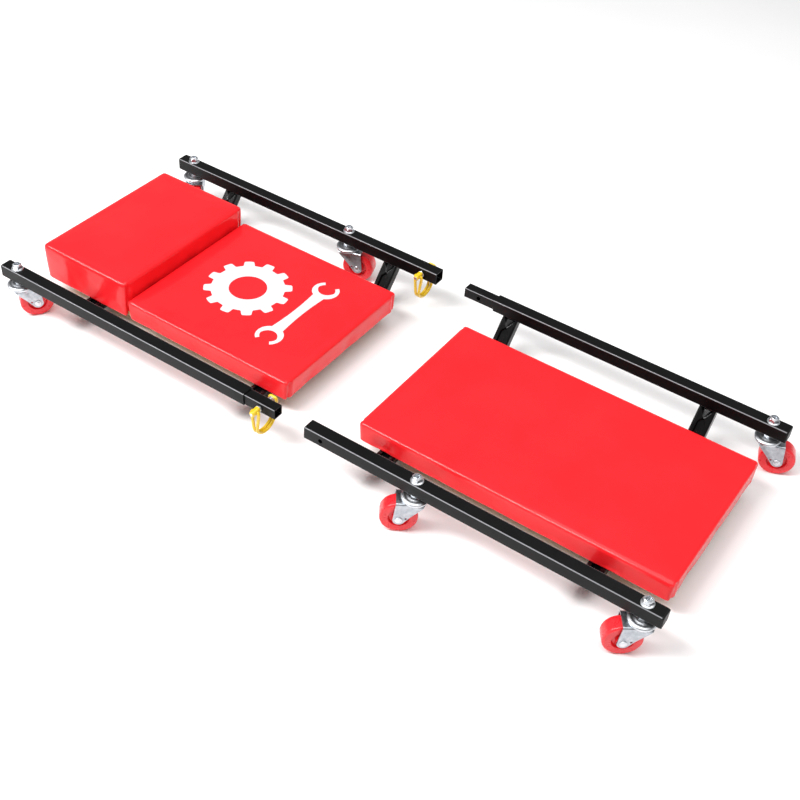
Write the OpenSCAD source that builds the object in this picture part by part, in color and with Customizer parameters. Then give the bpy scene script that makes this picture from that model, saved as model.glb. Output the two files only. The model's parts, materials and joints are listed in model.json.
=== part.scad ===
// Two-piece low-profile mechanics creeper on six swivel casters.
// The halves are point-symmetric: each has one socket rail with two casters and
// one tongue rail with one caster. The tongues slide into the opposite sockets.
// Lengths in millimetres. Floor at z = 0, head end towards -x.

/* [Frame] */
// Outside width across the two side rails
frame_width = 413; // [344:1:496]
// Side of the square rail tube
rail_size = 20; // [17:0.5:24]
// Wall thickness of the rail tube
rail_wall = 1.5; // [1.2:0.1:1.8]
// Length of each socket rail with its end cap
socket_rail_length = 523; // [450:1:620]
// How much shorter each tongue rail is than the socket rail beside it
rail_stagger = 55; // [50:1:60]
// Thickness of the plate of the rail end cap
cap_plate = 2.5; // [2:0.1:3]
// Length of the end cap plug inside the tube
cap_plug = 9; // [6:0.5:12]

/* [Slip joint] */
// Length of tongue that stands out of its rail
tongue_length = 52; // [45:1:62]
// Length of tongue fixed inside its rail
tongue_root = 50; // [35:1:60]
// Clearance all round between tongue and tube
tongue_clearance = 0.25; // [0.2:0.01:0.35]
// Distance of the lock pin hole from the socket mouth
pin_setback = 27; // [24:0.5:30]
// Gap between tongue tips and socket mouths while the halves are apart
rest_gap = 51; // [45:1:70]

/* [Crossbars] */
// Width of the channel crossbar
bar_width = 25.4; // [22:0.2:31]
// Depth of the channel crossbar
bar_depth = 13; // [12:0.5:14]
// Sheet thickness of the crossbar
bar_wall = 2; // [1.5:0.1:2.4]
// Slope of the crossbar legs from the horizontal
bar_slope = 50; // [45:1:60]
// Height of the crossbar top below the underside of the rails
bar_drop = 34; // [28:0.5:38]
// Width of the pressed groove along the crossbar
groove_width = 11; // [9:0.5:13]
// Depth of the pressed groove
groove_depth = 3; // [2:0.1:3.5]
// Distance of the outer crossbar from the outer end of the rails
outer_bar_inset = 102; // [98:1:125]
// Distance of the inner crossbar from the socket mouth plane
inner_bar_setback = 73; // [60:1:80]

/* [Pads] */
// Clear gap between pad side and rail
pad_side_gap = 50; // [45:1:60]
// Thickness of the flat pads with their boards
pad_thickness = 33.5; // [27:0.5:40]
// Extra height of the headrest above the flat pad
headrest_rise = 28; // [20:1:34]
// Length of the headrest
headrest_length = 170; // [140:1:210]
// Distance of the pads from the outer end of the rails
pad_end_inset = 13.5; // [10:0.5:20]
// Distance of the head pad from the socket mouth plane
head_pad_setback = 36.5; // [36:0.5:45]
// Distance of the hip pad from the socket mouth plane
hip_pad_setback = 37; // [36.5:0.5:45]
// Radius of the pad edges
pad_round = 6; // [4:0.5:9]
// Thickness of the plywood boards
board_thickness = 7; // [5:0.5:9]
// Width of the cover wrapped round the board edge
cover_wrap = 8; // [3:0.5:10]
// Clearance between a pad and its neighbours
pad_clearance = 0.3; // [0.2:0.05:0.5]

/* [Casters] */
// Wheel diameter
wheel_diameter = 50.8; // [42:0.2:61]
// Wheel width over the tread
wheel_width = 22; // [18:0.5:26]
// Trail of the wheel axle behind the swivel axis
caster_trail = 20; // [17:0.5:24]
// Diameter of the swivel race
race_diameter = 38; // [34:0.5:44]
// Height of the whole ball race
race_height = 5.5; // [5:0.1:7]
// Sheet thickness of the fork
fork_sheet = 2; // [1.6:0.1:2.4]
// Diameter of the threaded stem
stem_diameter = 8; // [7:0.5:9]
// Distance of the end casters from the outer end of the rails
outer_caster_inset = 26; // [24:0.5:30]
// Distance of the third caster from the socket mouth plane
inner_caster_setback = 173; // [150:1:200]
// Height of the spacer nut between race and rail
spacer_height = 5; // [4:0.5:7]

/* [Lock pins] */
// Diameter of the lock pin
pin_diameter = 6.4; // [5.4:0.1:7.6]
// Length of pin that stands out past the rail
pin_overhang = 8; // [7:0.5:10]
// Diameter of the bail wire
bail_wire = 4; // [3.4:0.1:4.6]
// Straight part of each bail leg
bail_leg = 30; // [25:0.5:35]

/* [Hidden] */

$fn = 48;
eps = 0.5;

// clearances
press_gap = 0.15;
screw_gap = 0.2;
stem_gap = 0.1;
swivel_gap = 0.3;
wheel_gap = 0.5;
pin_gap = 0.2;

// frame
rail_y = (frame_width - rail_size) / 2;
rail_inner_y = frame_width / 2 - rail_size;
tube_bore = rail_size - 2 * rail_wall;
tongue_size = tube_bore - 2 * tongue_clearance;
tongue_rail_length = socket_rail_length - rail_stagger;
half_offset = tongue_rail_length + tongue_length + rest_gap;
total_length = half_offset + socket_rail_length;

// caster heights, built up from the floor
wheel_r = wheel_diameter / 2;
wheel_top_gap = 1.5;
fork_plate_z = wheel_diameter + wheel_top_gap;
race_z = fork_plate_z + fork_sheet;
race_top_z = race_z + race_height;
rail_z = race_top_z + spacer_height;
rail_top_z = rail_z + rail_size;
tube_mid_z = rail_z + rail_size / 2;

// pads
pad_z = rail_z - bar_drop;
pad_width = frame_width - 2 * rail_size - 2 * pad_side_gap;
head_pad_start = pad_end_inset + headrest_length + pad_clearance;
head_pad_end = socket_rail_length - head_pad_setback;
hip_pad_end = socket_rail_length - hip_pad_setback;
inner_bar_x = socket_rail_length - inner_bar_setback - bar_width;
inner_caster_x = socket_rail_length - inner_caster_setback;
screw_inset = 45;
screw_y = pad_width / 2 - screw_inset;
screw_d = 4;
screw_depth = 5;
screw_head_d = 8;
screw_head_h = 2.2;

// nuts and stem
nut_flat = 13;
nut_flange_d = 18;
nut_flange_h = 1.6;
nut_hex_h = 5.4;
nut_collar_d = 11;
nut_collar_h = 1.6;
nut_h = nut_flange_h + nut_hex_h + nut_collar_h;
stem_sink = 1;
stem_top_z = rail_top_z + nut_h - stem_sink;
stem_head_d = 15;
stem_head_h = 1.8;
spacer_flat = 13;

// race and balls
race_cup_wall = 1.4;
race_lower_h = 1.8;
race_skirt_gap = 0.5;
race_lower_inset = 0.5;
race_rim_wall = 1.5;
race_hub_wall = 2;
race_shoulder = 1;
race_dome = 0.7;
ball_d = 2.4;
ball_count = 12;
ball_gap = 0.15;
ball_inset = 4.4;
ball_circle_r = race_diameter / 2 - ball_inset;

// fork, wheel and axle
hub_proud = 1;
hub_width = wheel_width + 2 * hub_proud;
fork_inner = hub_width + 2 * wheel_gap;
fork_outer = fork_inner + 2 * fork_sheet;
axle_d = 6;
axle_gap = 0.15;
axle_head_d = 10;
axle_head_h = 1.8;
axle_boss_r = 8;
fork_hole_d = 3;
fork_front_x = -12;
fork_rear_x = 25;
fork_hole_back = 9;
fork_hole_up = 3;
leg_angle = 30;
hub_r = 8;
web_width = 12;
rim_height = 7.5;
rim_inner_r = wheel_r - rim_height;
wheel_facets = 72;
tread_round = 3;

// lock pin and bail
pin_collar_d = 10;
pin_collar_h = 1.6;
pin_seat = 0.3;
pin_head_d = 9;
pin_head_w = 7;
pin_head_length = 14.2;
bail_pivot = 7.6;
bail_gap = 0.2;
bail_side_gap = 0.3;
bail_x = pin_head_w / 2 + bail_side_gap + bail_wire / 2;
bail_tip_gap = 0.4;
bail_reach = bail_pivot + rail_size + pin_overhang + bail_tip_gap + bail_wire / 2;
bail_bend = bail_reach / 2;

pin_out = pin_seat + pin_collar_h + pin_head_length;
bail_out = pin_overhang + bail_tip_gap + bail_wire;

// one caster per row: x, y, rest swivel angle
head_casters = [
    [outer_caster_inset, -rail_y, 57],
    [outer_caster_inset, rail_y, -52],
    [inner_caster_x, rail_y, 18]
];
hip_casters = [
    [half_offset + inner_caster_setback, -rail_y, 214],
    [total_length - outer_caster_inset, -rail_y, 215],
    [total_length - outer_caster_inset, rail_y, 20]
];

casters = concat(head_casters, hip_casters);

// Reach of a wheel from its centre, for the cosines of its plane and its axle.
function wheel_reach(a, b) =
    (wheel_r - tread_round) * abs(a) + (wheel_width / 2 - tread_round) * abs(b) + tread_round;

// the outline's middle, at rest
wheel_x_high = [
    for (c = casters) c[0] + caster_trail * cos(c[2]) + wheel_reach(cos(c[2]), sin(c[2]))
];
wheel_y_high = [
    for (c = casters) c[1] + caster_trail * sin(c[2]) + wheel_reach(sin(c[2]), cos(c[2]))
];
wheel_y_low = [
    for (c = casters) c[1] + caster_trail * sin(c[2]) - wheel_reach(sin(c[2]), cos(c[2]))
];
middle_x = max(total_length, max(wheel_x_high)) / 2;
middle_y = (
    max(frame_width / 2 + bail_out, max(wheel_y_high))
    + min(-frame_width / 2 - pin_out, min(wheel_y_low))
) / 2;

black = [0.1, 0.1, 0.11];
red = [0.86, 0.14, 0.13];
zinc = [0.75, 0.76, 0.78];
yellow = [0.95, 0.78, 0.1];
wood = [0.72, 0.56, 0.36];
plastic = [0.05, 0.05, 0.05];

// ---- placement ----
// Head half coordinates: x from its outer end, y from the centre line.
module head_half() {
    translate([-middle_x, -middle_y, 0]) children();
}

// The hip half is the head half turned about the vertical.
module hip_half() {
    head_half() translate([total_length, 0, 0]) rotate([0, 0, 180]) children();
}

module at_casters(list) {
    for (c = list) head_half() translate([c[0], c[1], 0]) children();
}

module at_caster(c) {
    head_half() translate([c[0], c[1], 0]) rotate([0, 0, c[2]]) children();
}

// ---- shared shapes ----
module disc(d, h) {
    cylinder(d = d, h = h);
}

// hexagonal prism given by its width across flats
module hexagon(flat, h) {
    cylinder(d = flat / cos(30), h = h, $fn = 6);
}

// cylinder along y, starting at the origin
module rod_y(d, h) {
    rotate([-90, 0, 0]) cylinder(d = d, h = h);
}

// cylinder along x, centred on the origin
module rod_x(d, h) {
    rotate([0, 90, 0]) cylinder(d = d, h = h, center = true);
}

module square_tube(length, size, wall) {
    difference() {
        translate([0, -size / 2, -size / 2]) cube([length, size, size]);
        translate([-eps, wall - size / 2, wall - size / 2])
            cube([length + 2 * eps, size - 2 * wall, size - 2 * wall]);
    }
}

// block rounded in plan and along its top edges
module pad_block(l, w, h, r) {
    intersection() {
        linear_extrude(height = h) rounded(l, w, r);
        translate([0, w / 2, 0]) rotate([90, 0, 0]) linear_extrude(height = w) arched(l, h, r);
        rotate([90, 0, 90]) linear_extrude(height = l) translate([-w / 2, 0]) arched(w, h, r);
    }
}

// rectangle with four round corners, centred on y
module rounded(l, w, r) {
    translate([r, -w / 2]) square([l - 2 * r, w]);
    translate([0, r - w / 2]) square([l, w - 2 * r]);
    for (x = [r, l - r], y = [r - w / 2, w / 2 - r]) translate([x, y]) circle(r = r);
}

// rectangle with its two upper corners rounded
module arched(l, h, r) {
    square([l, h - r]);
    translate([r, 0]) square([l - 2 * r, h]);
    for (x = [r, l - r]) translate([x, h - r]) circle(r = r);
}

// ---- frame ----
module socket_rail() {
    color(black) difference() {
        translate([cap_plate, rail_y, tube_mid_z])
            square_tube(socket_rail_length - cap_plate, rail_size, rail_wall);
        for (x = [outer_caster_inset, inner_caster_x]) stem_hole(x, rail_y);
        pin_hole(socket_rail_length - pin_setback, rail_y);
    }
}

module tongue_rail() {
    color(black) difference() {
        translate([cap_plate, -rail_y, tube_mid_z])
            square_tube(tongue_rail_length - cap_plate, rail_size, rail_wall);
        stem_hole(outer_caster_inset, -rail_y);
    }
}

module tongue() {
    color(black) difference() {
        translate([tongue_rail_length - tongue_root, -rail_y, tube_mid_z])
            square_tube(tongue_root + tongue_length, tongue_size, rail_wall);
        pin_hole(tongue_rail_length + pin_setback, -rail_y);
    }
}

module stem_hole(x, y) {
    translate([x, y, rail_z - eps]) disc(stem_diameter + 2 * screw_gap, rail_size + 2 * eps);
}

module pin_hole(x, y) {
    translate([x, y - rail_size, tube_mid_z])
        rod_y(pin_diameter + 2 * pin_gap, 2 * rail_size);
}

module end_caps() {
    color(plastic) for (side = [-1, 1]) translate([0, side * rail_y, tube_mid_z]) end_cap();
}

// square plate with a hollow plug that fits the tube
module end_cap() {
    plug = tube_bore - 2 * press_gap;
    translate([0, -rail_size / 2, -rail_size / 2]) cube([cap_plate, rail_size, rail_size]);
    translate([cap_plate, 0, 0]) square_tube(cap_plug, plug, rail_wall);
}

// Closed outline between two depths below the top line of the crossbar.
function bar_strip(d1, d2) =
    let (
        run = bar_drop / tan(bar_slope),
        y_end = rail_inner_y,
        y_bend = rail_inner_y - run,
        k = 1 / sin(bar_slope),
        m = tan(bar_slope / 2)
    ) [
        [-y_end - d1 * k, rail_z], [-y_bend - d1 * m, pad_z - d1],
        [y_bend + d1 * m, pad_z - d1], [y_end + d1 * k, rail_z],
        [y_end + d2 * k, rail_z], [y_bend + d2 * m, pad_z - d2],
        [-y_bend - d2 * m, pad_z - d2], [-y_end - d2 * k, rail_z]
    ];

// strip of the crossbar, extruded along x and centred on its width
module bar_layer(d1, d2, width) {
    rotate([90, 0, 90]) linear_extrude(height = width, center = true)
        polygon(bar_strip(d1, d2));
}

// pressed channel, open downwards, with a groove along its top
module crossbar(x) {
    floor_depth = groove_depth + bar_wall;
    rib = (bar_width - groove_width) / 2 - bar_wall;
    color(black) translate([x + bar_width / 2, 0, 0]) difference() {
        bar_layer(0, bar_depth, bar_width);
        bar_layer(floor_depth, bar_depth + eps, bar_width - 2 * bar_wall);
        for (side = [-1, 1]) translate([side * (bar_width / 2 - rib / 2 - bar_wall / 2), 0, 0])
            bar_layer(bar_wall, floor_depth + eps, rib - bar_wall);
        groove_cut();
        for (y = [-screw_y, screw_y]) translate([0, y, pad_z - bar_depth])
            disc(screw_d + 2 * screw_gap, bar_depth + eps);
    }
}

// groove that runs out in a V below each rail
module groove_cut() {
    difference() {
        bar_layer(-eps, groove_depth, groove_width);
        for (side = [-1, 1]) translate([0, side * rail_inner_y, rail_z])
            rotate([0, 0, 45]) cube([groove_width, groove_width, bar_drop], center = true);
    }
}

// ---- pads ----
module board(length) {
    color(wood) difference() {
        translate([pad_end_inset + cover_wrap, cover_wrap - pad_width / 2, pad_z])
            cube([length - 2 * cover_wrap, pad_width - 2 * cover_wrap, board_thickness]);
        for (x = [outer_bar_inset, inner_bar_x], y = [-screw_y, screw_y])
            translate([x + bar_width / 2, y, pad_z - eps])
                disc(screw_d + 2 * screw_gap, screw_depth + screw_gap + eps);
    }
}

// space that the board takes out of the pads above it
module board_room(length) {
    g = pad_clearance;
    translate([pad_end_inset + cover_wrap - g, cover_wrap - g - pad_width / 2, pad_z - eps])
        cube([length - 2 * cover_wrap + 2 * g, pad_width - 2 * cover_wrap + 2 * g,
              board_thickness + g + eps]);
}

module headrest() {
    color(red) difference() {
        translate([pad_end_inset, 0, pad_z])
            pad_block(headrest_length, pad_width, pad_thickness + headrest_rise, pad_round);
        board_room(head_pad_end - pad_end_inset);
    }
}

module flat_pad(start, end) {
    color(red) difference() {
        translate([start, 0, pad_z])
            pad_block(end - start, pad_width, pad_thickness, pad_round);
        board_room(end - pad_end_inset);
    }
}

// pan-head screws, up through the crossbars into the board
module board_screws() {
    web_z = pad_z - groove_depth - bar_wall;
    color(zinc) for (x = [outer_bar_inset, inner_bar_x], y = [-screw_y, screw_y])
        translate([x + bar_width / 2, y, web_z - screw_head_h]) {
            disc(screw_head_d, screw_head_h);
            disc(screw_d, screw_head_h + groove_depth + bar_wall + screw_depth);
        }
}

// ---- casters ----
// flange nut with a locking collar
module flange_nut() {
    difference() {
        union() {
            disc(nut_flange_d, nut_flange_h);
            hexagon(nut_flat, nut_flange_h + nut_hex_h);
            disc(nut_collar_d, nut_h);
        }
        translate([0, 0, -eps]) disc(stem_diameter + 2 * stem_gap, nut_h + 2 * eps);
    }
}

module stem_nuts(list) {
    color(zinc) at_casters(list) translate([0, 0, rail_top_z]) flange_nut();
}

module spacer_nuts(list) {
    color(zinc) at_casters(list) translate([0, 0, race_top_z]) difference() {
        hexagon(spacer_flat, spacer_height);
        translate([0, 0, -eps]) disc(stem_diameter + 2 * stem_gap, spacer_height + 2 * eps);
    }
}

// threaded stem with the upper race cup and the head under the fork
module stem() {
    cup_r = race_diameter / 2;
    cup_z = race_z + race_lower_h + race_skirt_gap;
    color(zinc) {
        translate([0, 0, fork_plate_z - swivel_gap - stem_head_h]) disc(stem_head_d, stem_head_h);
        translate([0, 0, fork_plate_z - swivel_gap - stem_head_h])
            disc(stem_diameter, stem_top_z - fork_plate_z + swivel_gap + stem_head_h);
        difference() {
            translate([0, 0, cup_z]) rotate_extrude() race_cup_outline(cup_r);
            translate([0, 0, cup_z]) rotate_extrude() race_cup_hollow(cup_r - race_cup_wall);
        }
    }
}

// half section of the domed race cup
module race_cup_outline(r) {
    h = race_top_z - race_z - race_lower_h - race_skirt_gap;
    square([r - h * race_dome, h]);
    intersection() {
        translate([r - h * race_dome, 0]) scale([race_dome, 1]) circle(r = h);
        square([r, h]);
    }
}

// half section of the room under the cup
module race_cup_hollow(r) {
    h = race_top_z - race_z - race_lower_h - race_skirt_gap - race_cup_wall;
    collar_r = stem_diameter / 2 + race_hub_wall;
    translate([collar_r, -eps]) square([r - race_shoulder - collar_r, h + eps]);
}

// ring of bearing balls between the cup and the lower race
module balls() {
    color(zinc) for (i = [0:ball_count - 1]) rotate([0, 0, i * 360 / ball_count])
        translate([ball_circle_r, 0, race_z + ball_gap + ball_d / 2]) sphere(d = ball_d);
}

// bent sheet fork with the lower race on top
module fork() {
    bore = stem_diameter + 2 * swivel_gap;
    race_d = race_diameter - 2 * race_lower_inset;
    color(zinc) difference() {
        union() {
            translate([0, 0, fork_plate_z]) disc(race_d, fork_sheet);
            translate([fork_front_x, -fork_outer / 2, fork_plate_z])
                cube([fork_rear_x - fork_front_x, fork_outer, fork_sheet]);
            lower_race_rim(race_d);
            for (side = [-1, 1]) fork_leg(side);
        }
        translate([0, 0, fork_plate_z - eps]) disc(bore, fork_sheet + race_lower_h + 2 * eps);
        translate([caster_trail, -fork_outer, wheel_r])
            rod_y(axle_d + 2 * axle_gap, 2 * fork_outer);
        translate([caster_trail - fork_hole_back, -fork_outer, wheel_r + fork_hole_up])
            rod_y(fork_hole_d, 2 * fork_outer);
    }
}

// raised rim around the lower race
module lower_race_rim(d) {
    translate([0, 0, race_z]) difference() {
        disc(d, race_lower_h);
        translate([0, 0, -eps]) disc(d - 2 * race_rim_wall, race_lower_h + 2 * eps);
    }
}

// flat fork leg, broad under the race and rounded at the axle
module fork_leg(side) {
    y0 = side > 0 ? fork_inner / 2 : -fork_outer / 2;
    translate([0, y0 + fork_sheet, 0]) rotate([90, 0, 0]) linear_extrude(height = fork_sheet) {
        translate([caster_trail, wheel_r]) circle(r = axle_boss_r);
        polygon([
            [fork_front_x, fork_plate_z + fork_sheet / 2],
            [fork_rear_x, fork_plate_z + fork_sheet / 2],
            [caster_trail + axle_boss_r, wheel_r],
            [caster_trail - axle_boss_r * cos(leg_angle), wheel_r - axle_boss_r * sin(leg_angle)]
        ]);
    }
}

module axle() {
    color(zinc) translate([caster_trail, 0, wheel_r]) {
        translate([0, -fork_outer / 2 - axle_head_h, 0])
            rod_y(axle_d, fork_outer + 2 * axle_head_h);
        translate([0, -fork_outer / 2 - axle_head_h, 0]) rod_y(axle_head_d, axle_head_h);
        translate([0, fork_outer / 2, 0]) rod_y(axle_head_d, axle_head_h);
    }
}

// wheel with a thin web between hub and rim
module wheel() {
    color(red) translate([caster_trail, 0, wheel_r]) rotate([90, 0, 0]) rotate_extrude($fn = wheel_facets)
        difference() {
            union() {
                translate([0, -hub_width / 2]) square([hub_r, hub_width]);
                translate([0, -web_width / 2]) square([wheel_r - tread_round, web_width]);
                translate([rim_inner_r, -wheel_width / 2])
                    square([wheel_r - rim_inner_r - tread_round, wheel_width]);
                translate([rim_inner_r, tread_round - wheel_width / 2])
                    square([wheel_r - rim_inner_r, wheel_width - 2 * tread_round]);
                for (y = [tread_round - wheel_width / 2, wheel_width / 2 - tread_round])
                    translate([wheel_r - tread_round, y]) circle(r = tread_round);
            }
            translate([-eps, -hub_width])
                square([axle_d / 2 + axle_gap + eps, 2 * hub_width]);
        }
}

// ---- lock pins ----
// Origin on the rail face that the pin is pushed in from, pin pointing to +y.
module lock_pin() {
    color(zinc) difference() {
        union() {
            translate([0, -pin_seat, 0]) rod_y(pin_diameter, rail_size + pin_overhang + pin_seat);
            translate([0, -pin_seat - pin_collar_h, 0]) rod_y(pin_collar_d, pin_collar_h);
            intersection() {
                translate([0, -pin_out, 0]) rod_y(pin_head_d, pin_out - pin_seat);
                translate([-pin_head_w / 2, -pin_out - eps, -pin_head_d])
                    cube([pin_head_w, pin_out + eps, 2 * pin_head_d]);
            }
        }
        translate([0, -bail_pivot, 0]) rod_x(bail_wire + 2 * bail_gap, 2 * pin_head_d);
    }
}

// closed wire loop: pivot, two legs passing under the rail, hook across the pin tip
module bail() {
    color(yellow) translate([0, -bail_pivot, 0]) {
        for (y = [0, bail_reach]) translate([0, y, 0]) {
            rod_x(bail_wire, 2 * bail_x);
            for (x = [-bail_x, bail_x]) translate([x, 0, 0]) {
                sphere(d = bail_wire);
                translate([0, 0, -bail_leg]) disc(bail_wire, bail_leg);
            }
        }
        for (x = [-bail_x, bail_x]) translate([x, bail_bend, -bail_leg])
            rotate([-90, 0, 90]) rotate_extrude(angle = 180)
                translate([bail_bend, 0]) circle(d = bail_wire);
    }
}

module at_near_pin() {
    head_half() translate([tongue_rail_length + pin_setback, -frame_width / 2, tube_mid_z])
        children();
}

module at_far_pin() {
    head_half() translate([socket_rail_length - pin_setback, rail_inner_y, tube_mid_z])
        children();
}

// ---- one line per node ----
head_half() socket_rail();  // head_socket_rail
head_half() tongue_rail();  // head_tongue_rail
head_half() tongue();  // head_tongue
head_half() crossbar(outer_bar_inset);  // head_bar_outer
head_half() crossbar(inner_bar_x);  // head_bar_inner
head_half() end_caps();  // head_end_caps
head_half() board(head_pad_end - pad_end_inset);  // head_board
head_half() flat_pad(head_pad_start, head_pad_end);  // head_pad
head_half() headrest();  // headrest_pad
head_half() board_screws();  // head_board_screws
hip_half() socket_rail();  // hip_socket_rail
hip_half() tongue_rail();  // hip_tongue_rail
hip_half() tongue();  // hip_tongue
hip_half() crossbar(outer_bar_inset);  // hip_bar_outer
hip_half() crossbar(inner_bar_x);  // hip_bar_inner
hip_half() end_caps();  // hip_end_caps
hip_half() board(hip_pad_end - pad_end_inset);  // hip_board
hip_half() flat_pad(pad_end_inset, hip_pad_end);  // hip_pad
hip_half() board_screws();  // hip_board_screws
stem_nuts(head_casters);  // head_stem_nuts
spacer_nuts(head_casters);  // head_spacer_nuts
stem_nuts(hip_casters);  // hip_stem_nuts
spacer_nuts(hip_casters);  // hip_spacer_nuts
at_caster(head_casters[0]) stem();  // caster_a_stem
at_caster(head_casters[0]) balls();  // caster_a_balls
at_caster(head_casters[0]) fork();  // caster_a_fork
at_caster(head_casters[0]) axle();  // caster_a_axle
at_caster(head_casters[0]) wheel();  // caster_a_wheel
at_caster(head_casters[1]) stem();  // caster_b_stem
at_caster(head_casters[1]) balls();  // caster_b_balls
at_caster(head_casters[1]) fork();  // caster_b_fork
at_caster(head_casters[1]) axle();  // caster_b_axle
at_caster(head_casters[1]) wheel();  // caster_b_wheel
at_caster(head_casters[2]) stem();  // caster_c_stem
at_caster(head_casters[2]) balls();  // caster_c_balls
at_caster(head_casters[2]) fork();  // caster_c_fork
at_caster(head_casters[2]) axle();  // caster_c_axle
at_caster(head_casters[2]) wheel();  // caster_c_wheel
at_caster(hip_casters[0]) stem();  // caster_d_stem
at_caster(hip_casters[0]) balls();  // caster_d_balls
at_caster(hip_casters[0]) fork();  // caster_d_fork
at_caster(hip_casters[0]) axle();  // caster_d_axle
at_caster(hip_casters[0]) wheel();  // caster_d_wheel
at_caster(hip_casters[1]) stem();  // caster_e_stem
at_caster(hip_casters[1]) balls();  // caster_e_balls
at_caster(hip_casters[1]) fork();  // caster_e_fork
at_caster(hip_casters[1]) axle();  // caster_e_axle
at_caster(hip_casters[1]) wheel();  // caster_e_wheel
at_caster(hip_casters[2]) stem();  // caster_f_stem
at_caster(hip_casters[2]) balls();  // caster_f_balls
at_caster(hip_casters[2]) fork();  // caster_f_fork
at_caster(hip_casters[2]) axle();  // caster_f_axle
at_caster(hip_casters[2]) wheel();  // caster_f_wheel
at_near_pin() lock_pin();  // near_pin
at_near_pin() bail();  // near_bail
at_far_pin() lock_pin();  // far_pin
at_far_pin() bail();  // far_bail
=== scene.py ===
"""Looks of the two-piece mechanics creeper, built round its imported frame."""

import json
import logging
import math
from dataclasses import dataclass
from enum import Enum
from functools import cache
from typing import Sequence

import bmesh
import bpy
import numpy as np
from mathutils import Matrix, Vector

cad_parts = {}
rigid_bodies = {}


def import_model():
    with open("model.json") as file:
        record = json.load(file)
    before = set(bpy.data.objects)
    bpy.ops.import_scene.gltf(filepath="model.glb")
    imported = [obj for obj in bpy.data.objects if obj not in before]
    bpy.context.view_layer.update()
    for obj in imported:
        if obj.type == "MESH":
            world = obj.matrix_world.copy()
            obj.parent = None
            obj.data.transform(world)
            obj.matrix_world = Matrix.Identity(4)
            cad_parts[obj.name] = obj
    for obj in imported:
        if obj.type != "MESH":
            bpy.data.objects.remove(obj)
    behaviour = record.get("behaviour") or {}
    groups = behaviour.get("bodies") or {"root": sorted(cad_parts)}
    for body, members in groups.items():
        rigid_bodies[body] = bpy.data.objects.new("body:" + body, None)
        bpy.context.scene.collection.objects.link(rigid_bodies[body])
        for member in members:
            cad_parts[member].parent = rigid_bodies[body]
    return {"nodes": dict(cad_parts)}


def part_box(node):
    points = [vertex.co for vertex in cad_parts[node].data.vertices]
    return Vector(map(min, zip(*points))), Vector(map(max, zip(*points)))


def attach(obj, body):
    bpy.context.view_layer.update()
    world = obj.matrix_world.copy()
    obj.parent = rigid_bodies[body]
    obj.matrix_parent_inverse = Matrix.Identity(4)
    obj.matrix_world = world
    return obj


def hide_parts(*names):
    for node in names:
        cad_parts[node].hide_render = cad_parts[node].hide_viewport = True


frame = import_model()

Socket = bpy.types.NodeSocket
LOG = logging.getLogger("creeper")
MM = 0.001


# ---------------------------------------------------------------- frame places
class Half(Enum):
    """The two halves of the creeper; the hip half is the head half turned about z."""

    HEAD = "head"
    HIP = "hip"

    @property
    def body(self) -> str:
        """Name of the body that the half's fixed pieces ride on."""
        return f"{self.value}_half"


@dataclass(frozen=True)
class Datum:
    """Half coordinates in millimetres: x from the outer end, y from the centre line.

    Args:
        start: Frame place of the head half's outer end on the centre line, in metres.
        length: Whole length over both halves, in millimetres.
    """

    start: tuple[float, float]
    length: float

    @classmethod
    def from_frame(cls) -> "Datum":
        """Reads the datum from the end caps of both halves.

        Returns:
            The datum.
        """
        low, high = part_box("head_end_caps")
        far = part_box("hip_end_caps")[1]
        return cls((low.x, (low.y + high.y) / 2), (far.x - low.x) / MM)

    def place(self, points: np.ndarray, half: Half = Half.HEAD) -> np.ndarray:
        """Turns half coordinates into frame coordinates.

        Args:
            points: Array (..., 3) in millimetres.
            half: The half that the points belong to.

        Returns:
            Array (..., 3) in metres.
        """
        out = np.array(points, float)
        if half is Half.HIP:
            out[..., 0] = self.length - out[..., 0]
            out[..., 1] = -out[..., 1]
        return out * MM + np.array([*self.start, 0.0])

    def lay(self, surface: "Surface", half: Half = Half.HEAD) -> "Surface":
        """A surface in half coordinates, laid out in the frame."""
        return Surface(self.place(surface.points, half), surface.faces)

    def local(self, node: str, half: Half = Half.HEAD) -> tuple[np.ndarray, np.ndarray]:
        """Box of a CAD node in the half's own millimetres.

        Args:
            node: Name of the CAD node.
            half: The half whose coordinates are wanted.

        Returns:
            The lowest and the highest corner.
        """
        ends = (np.array([tuple(c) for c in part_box(node)]) - [*self.start, 0.0]) / MM
        if half is Half.HIP:
            ends[:, 0] = self.length - ends[:, 0]
            ends[:, 1] = -ends[:, 1]
        return ends.min(0), ends.max(0)


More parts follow.
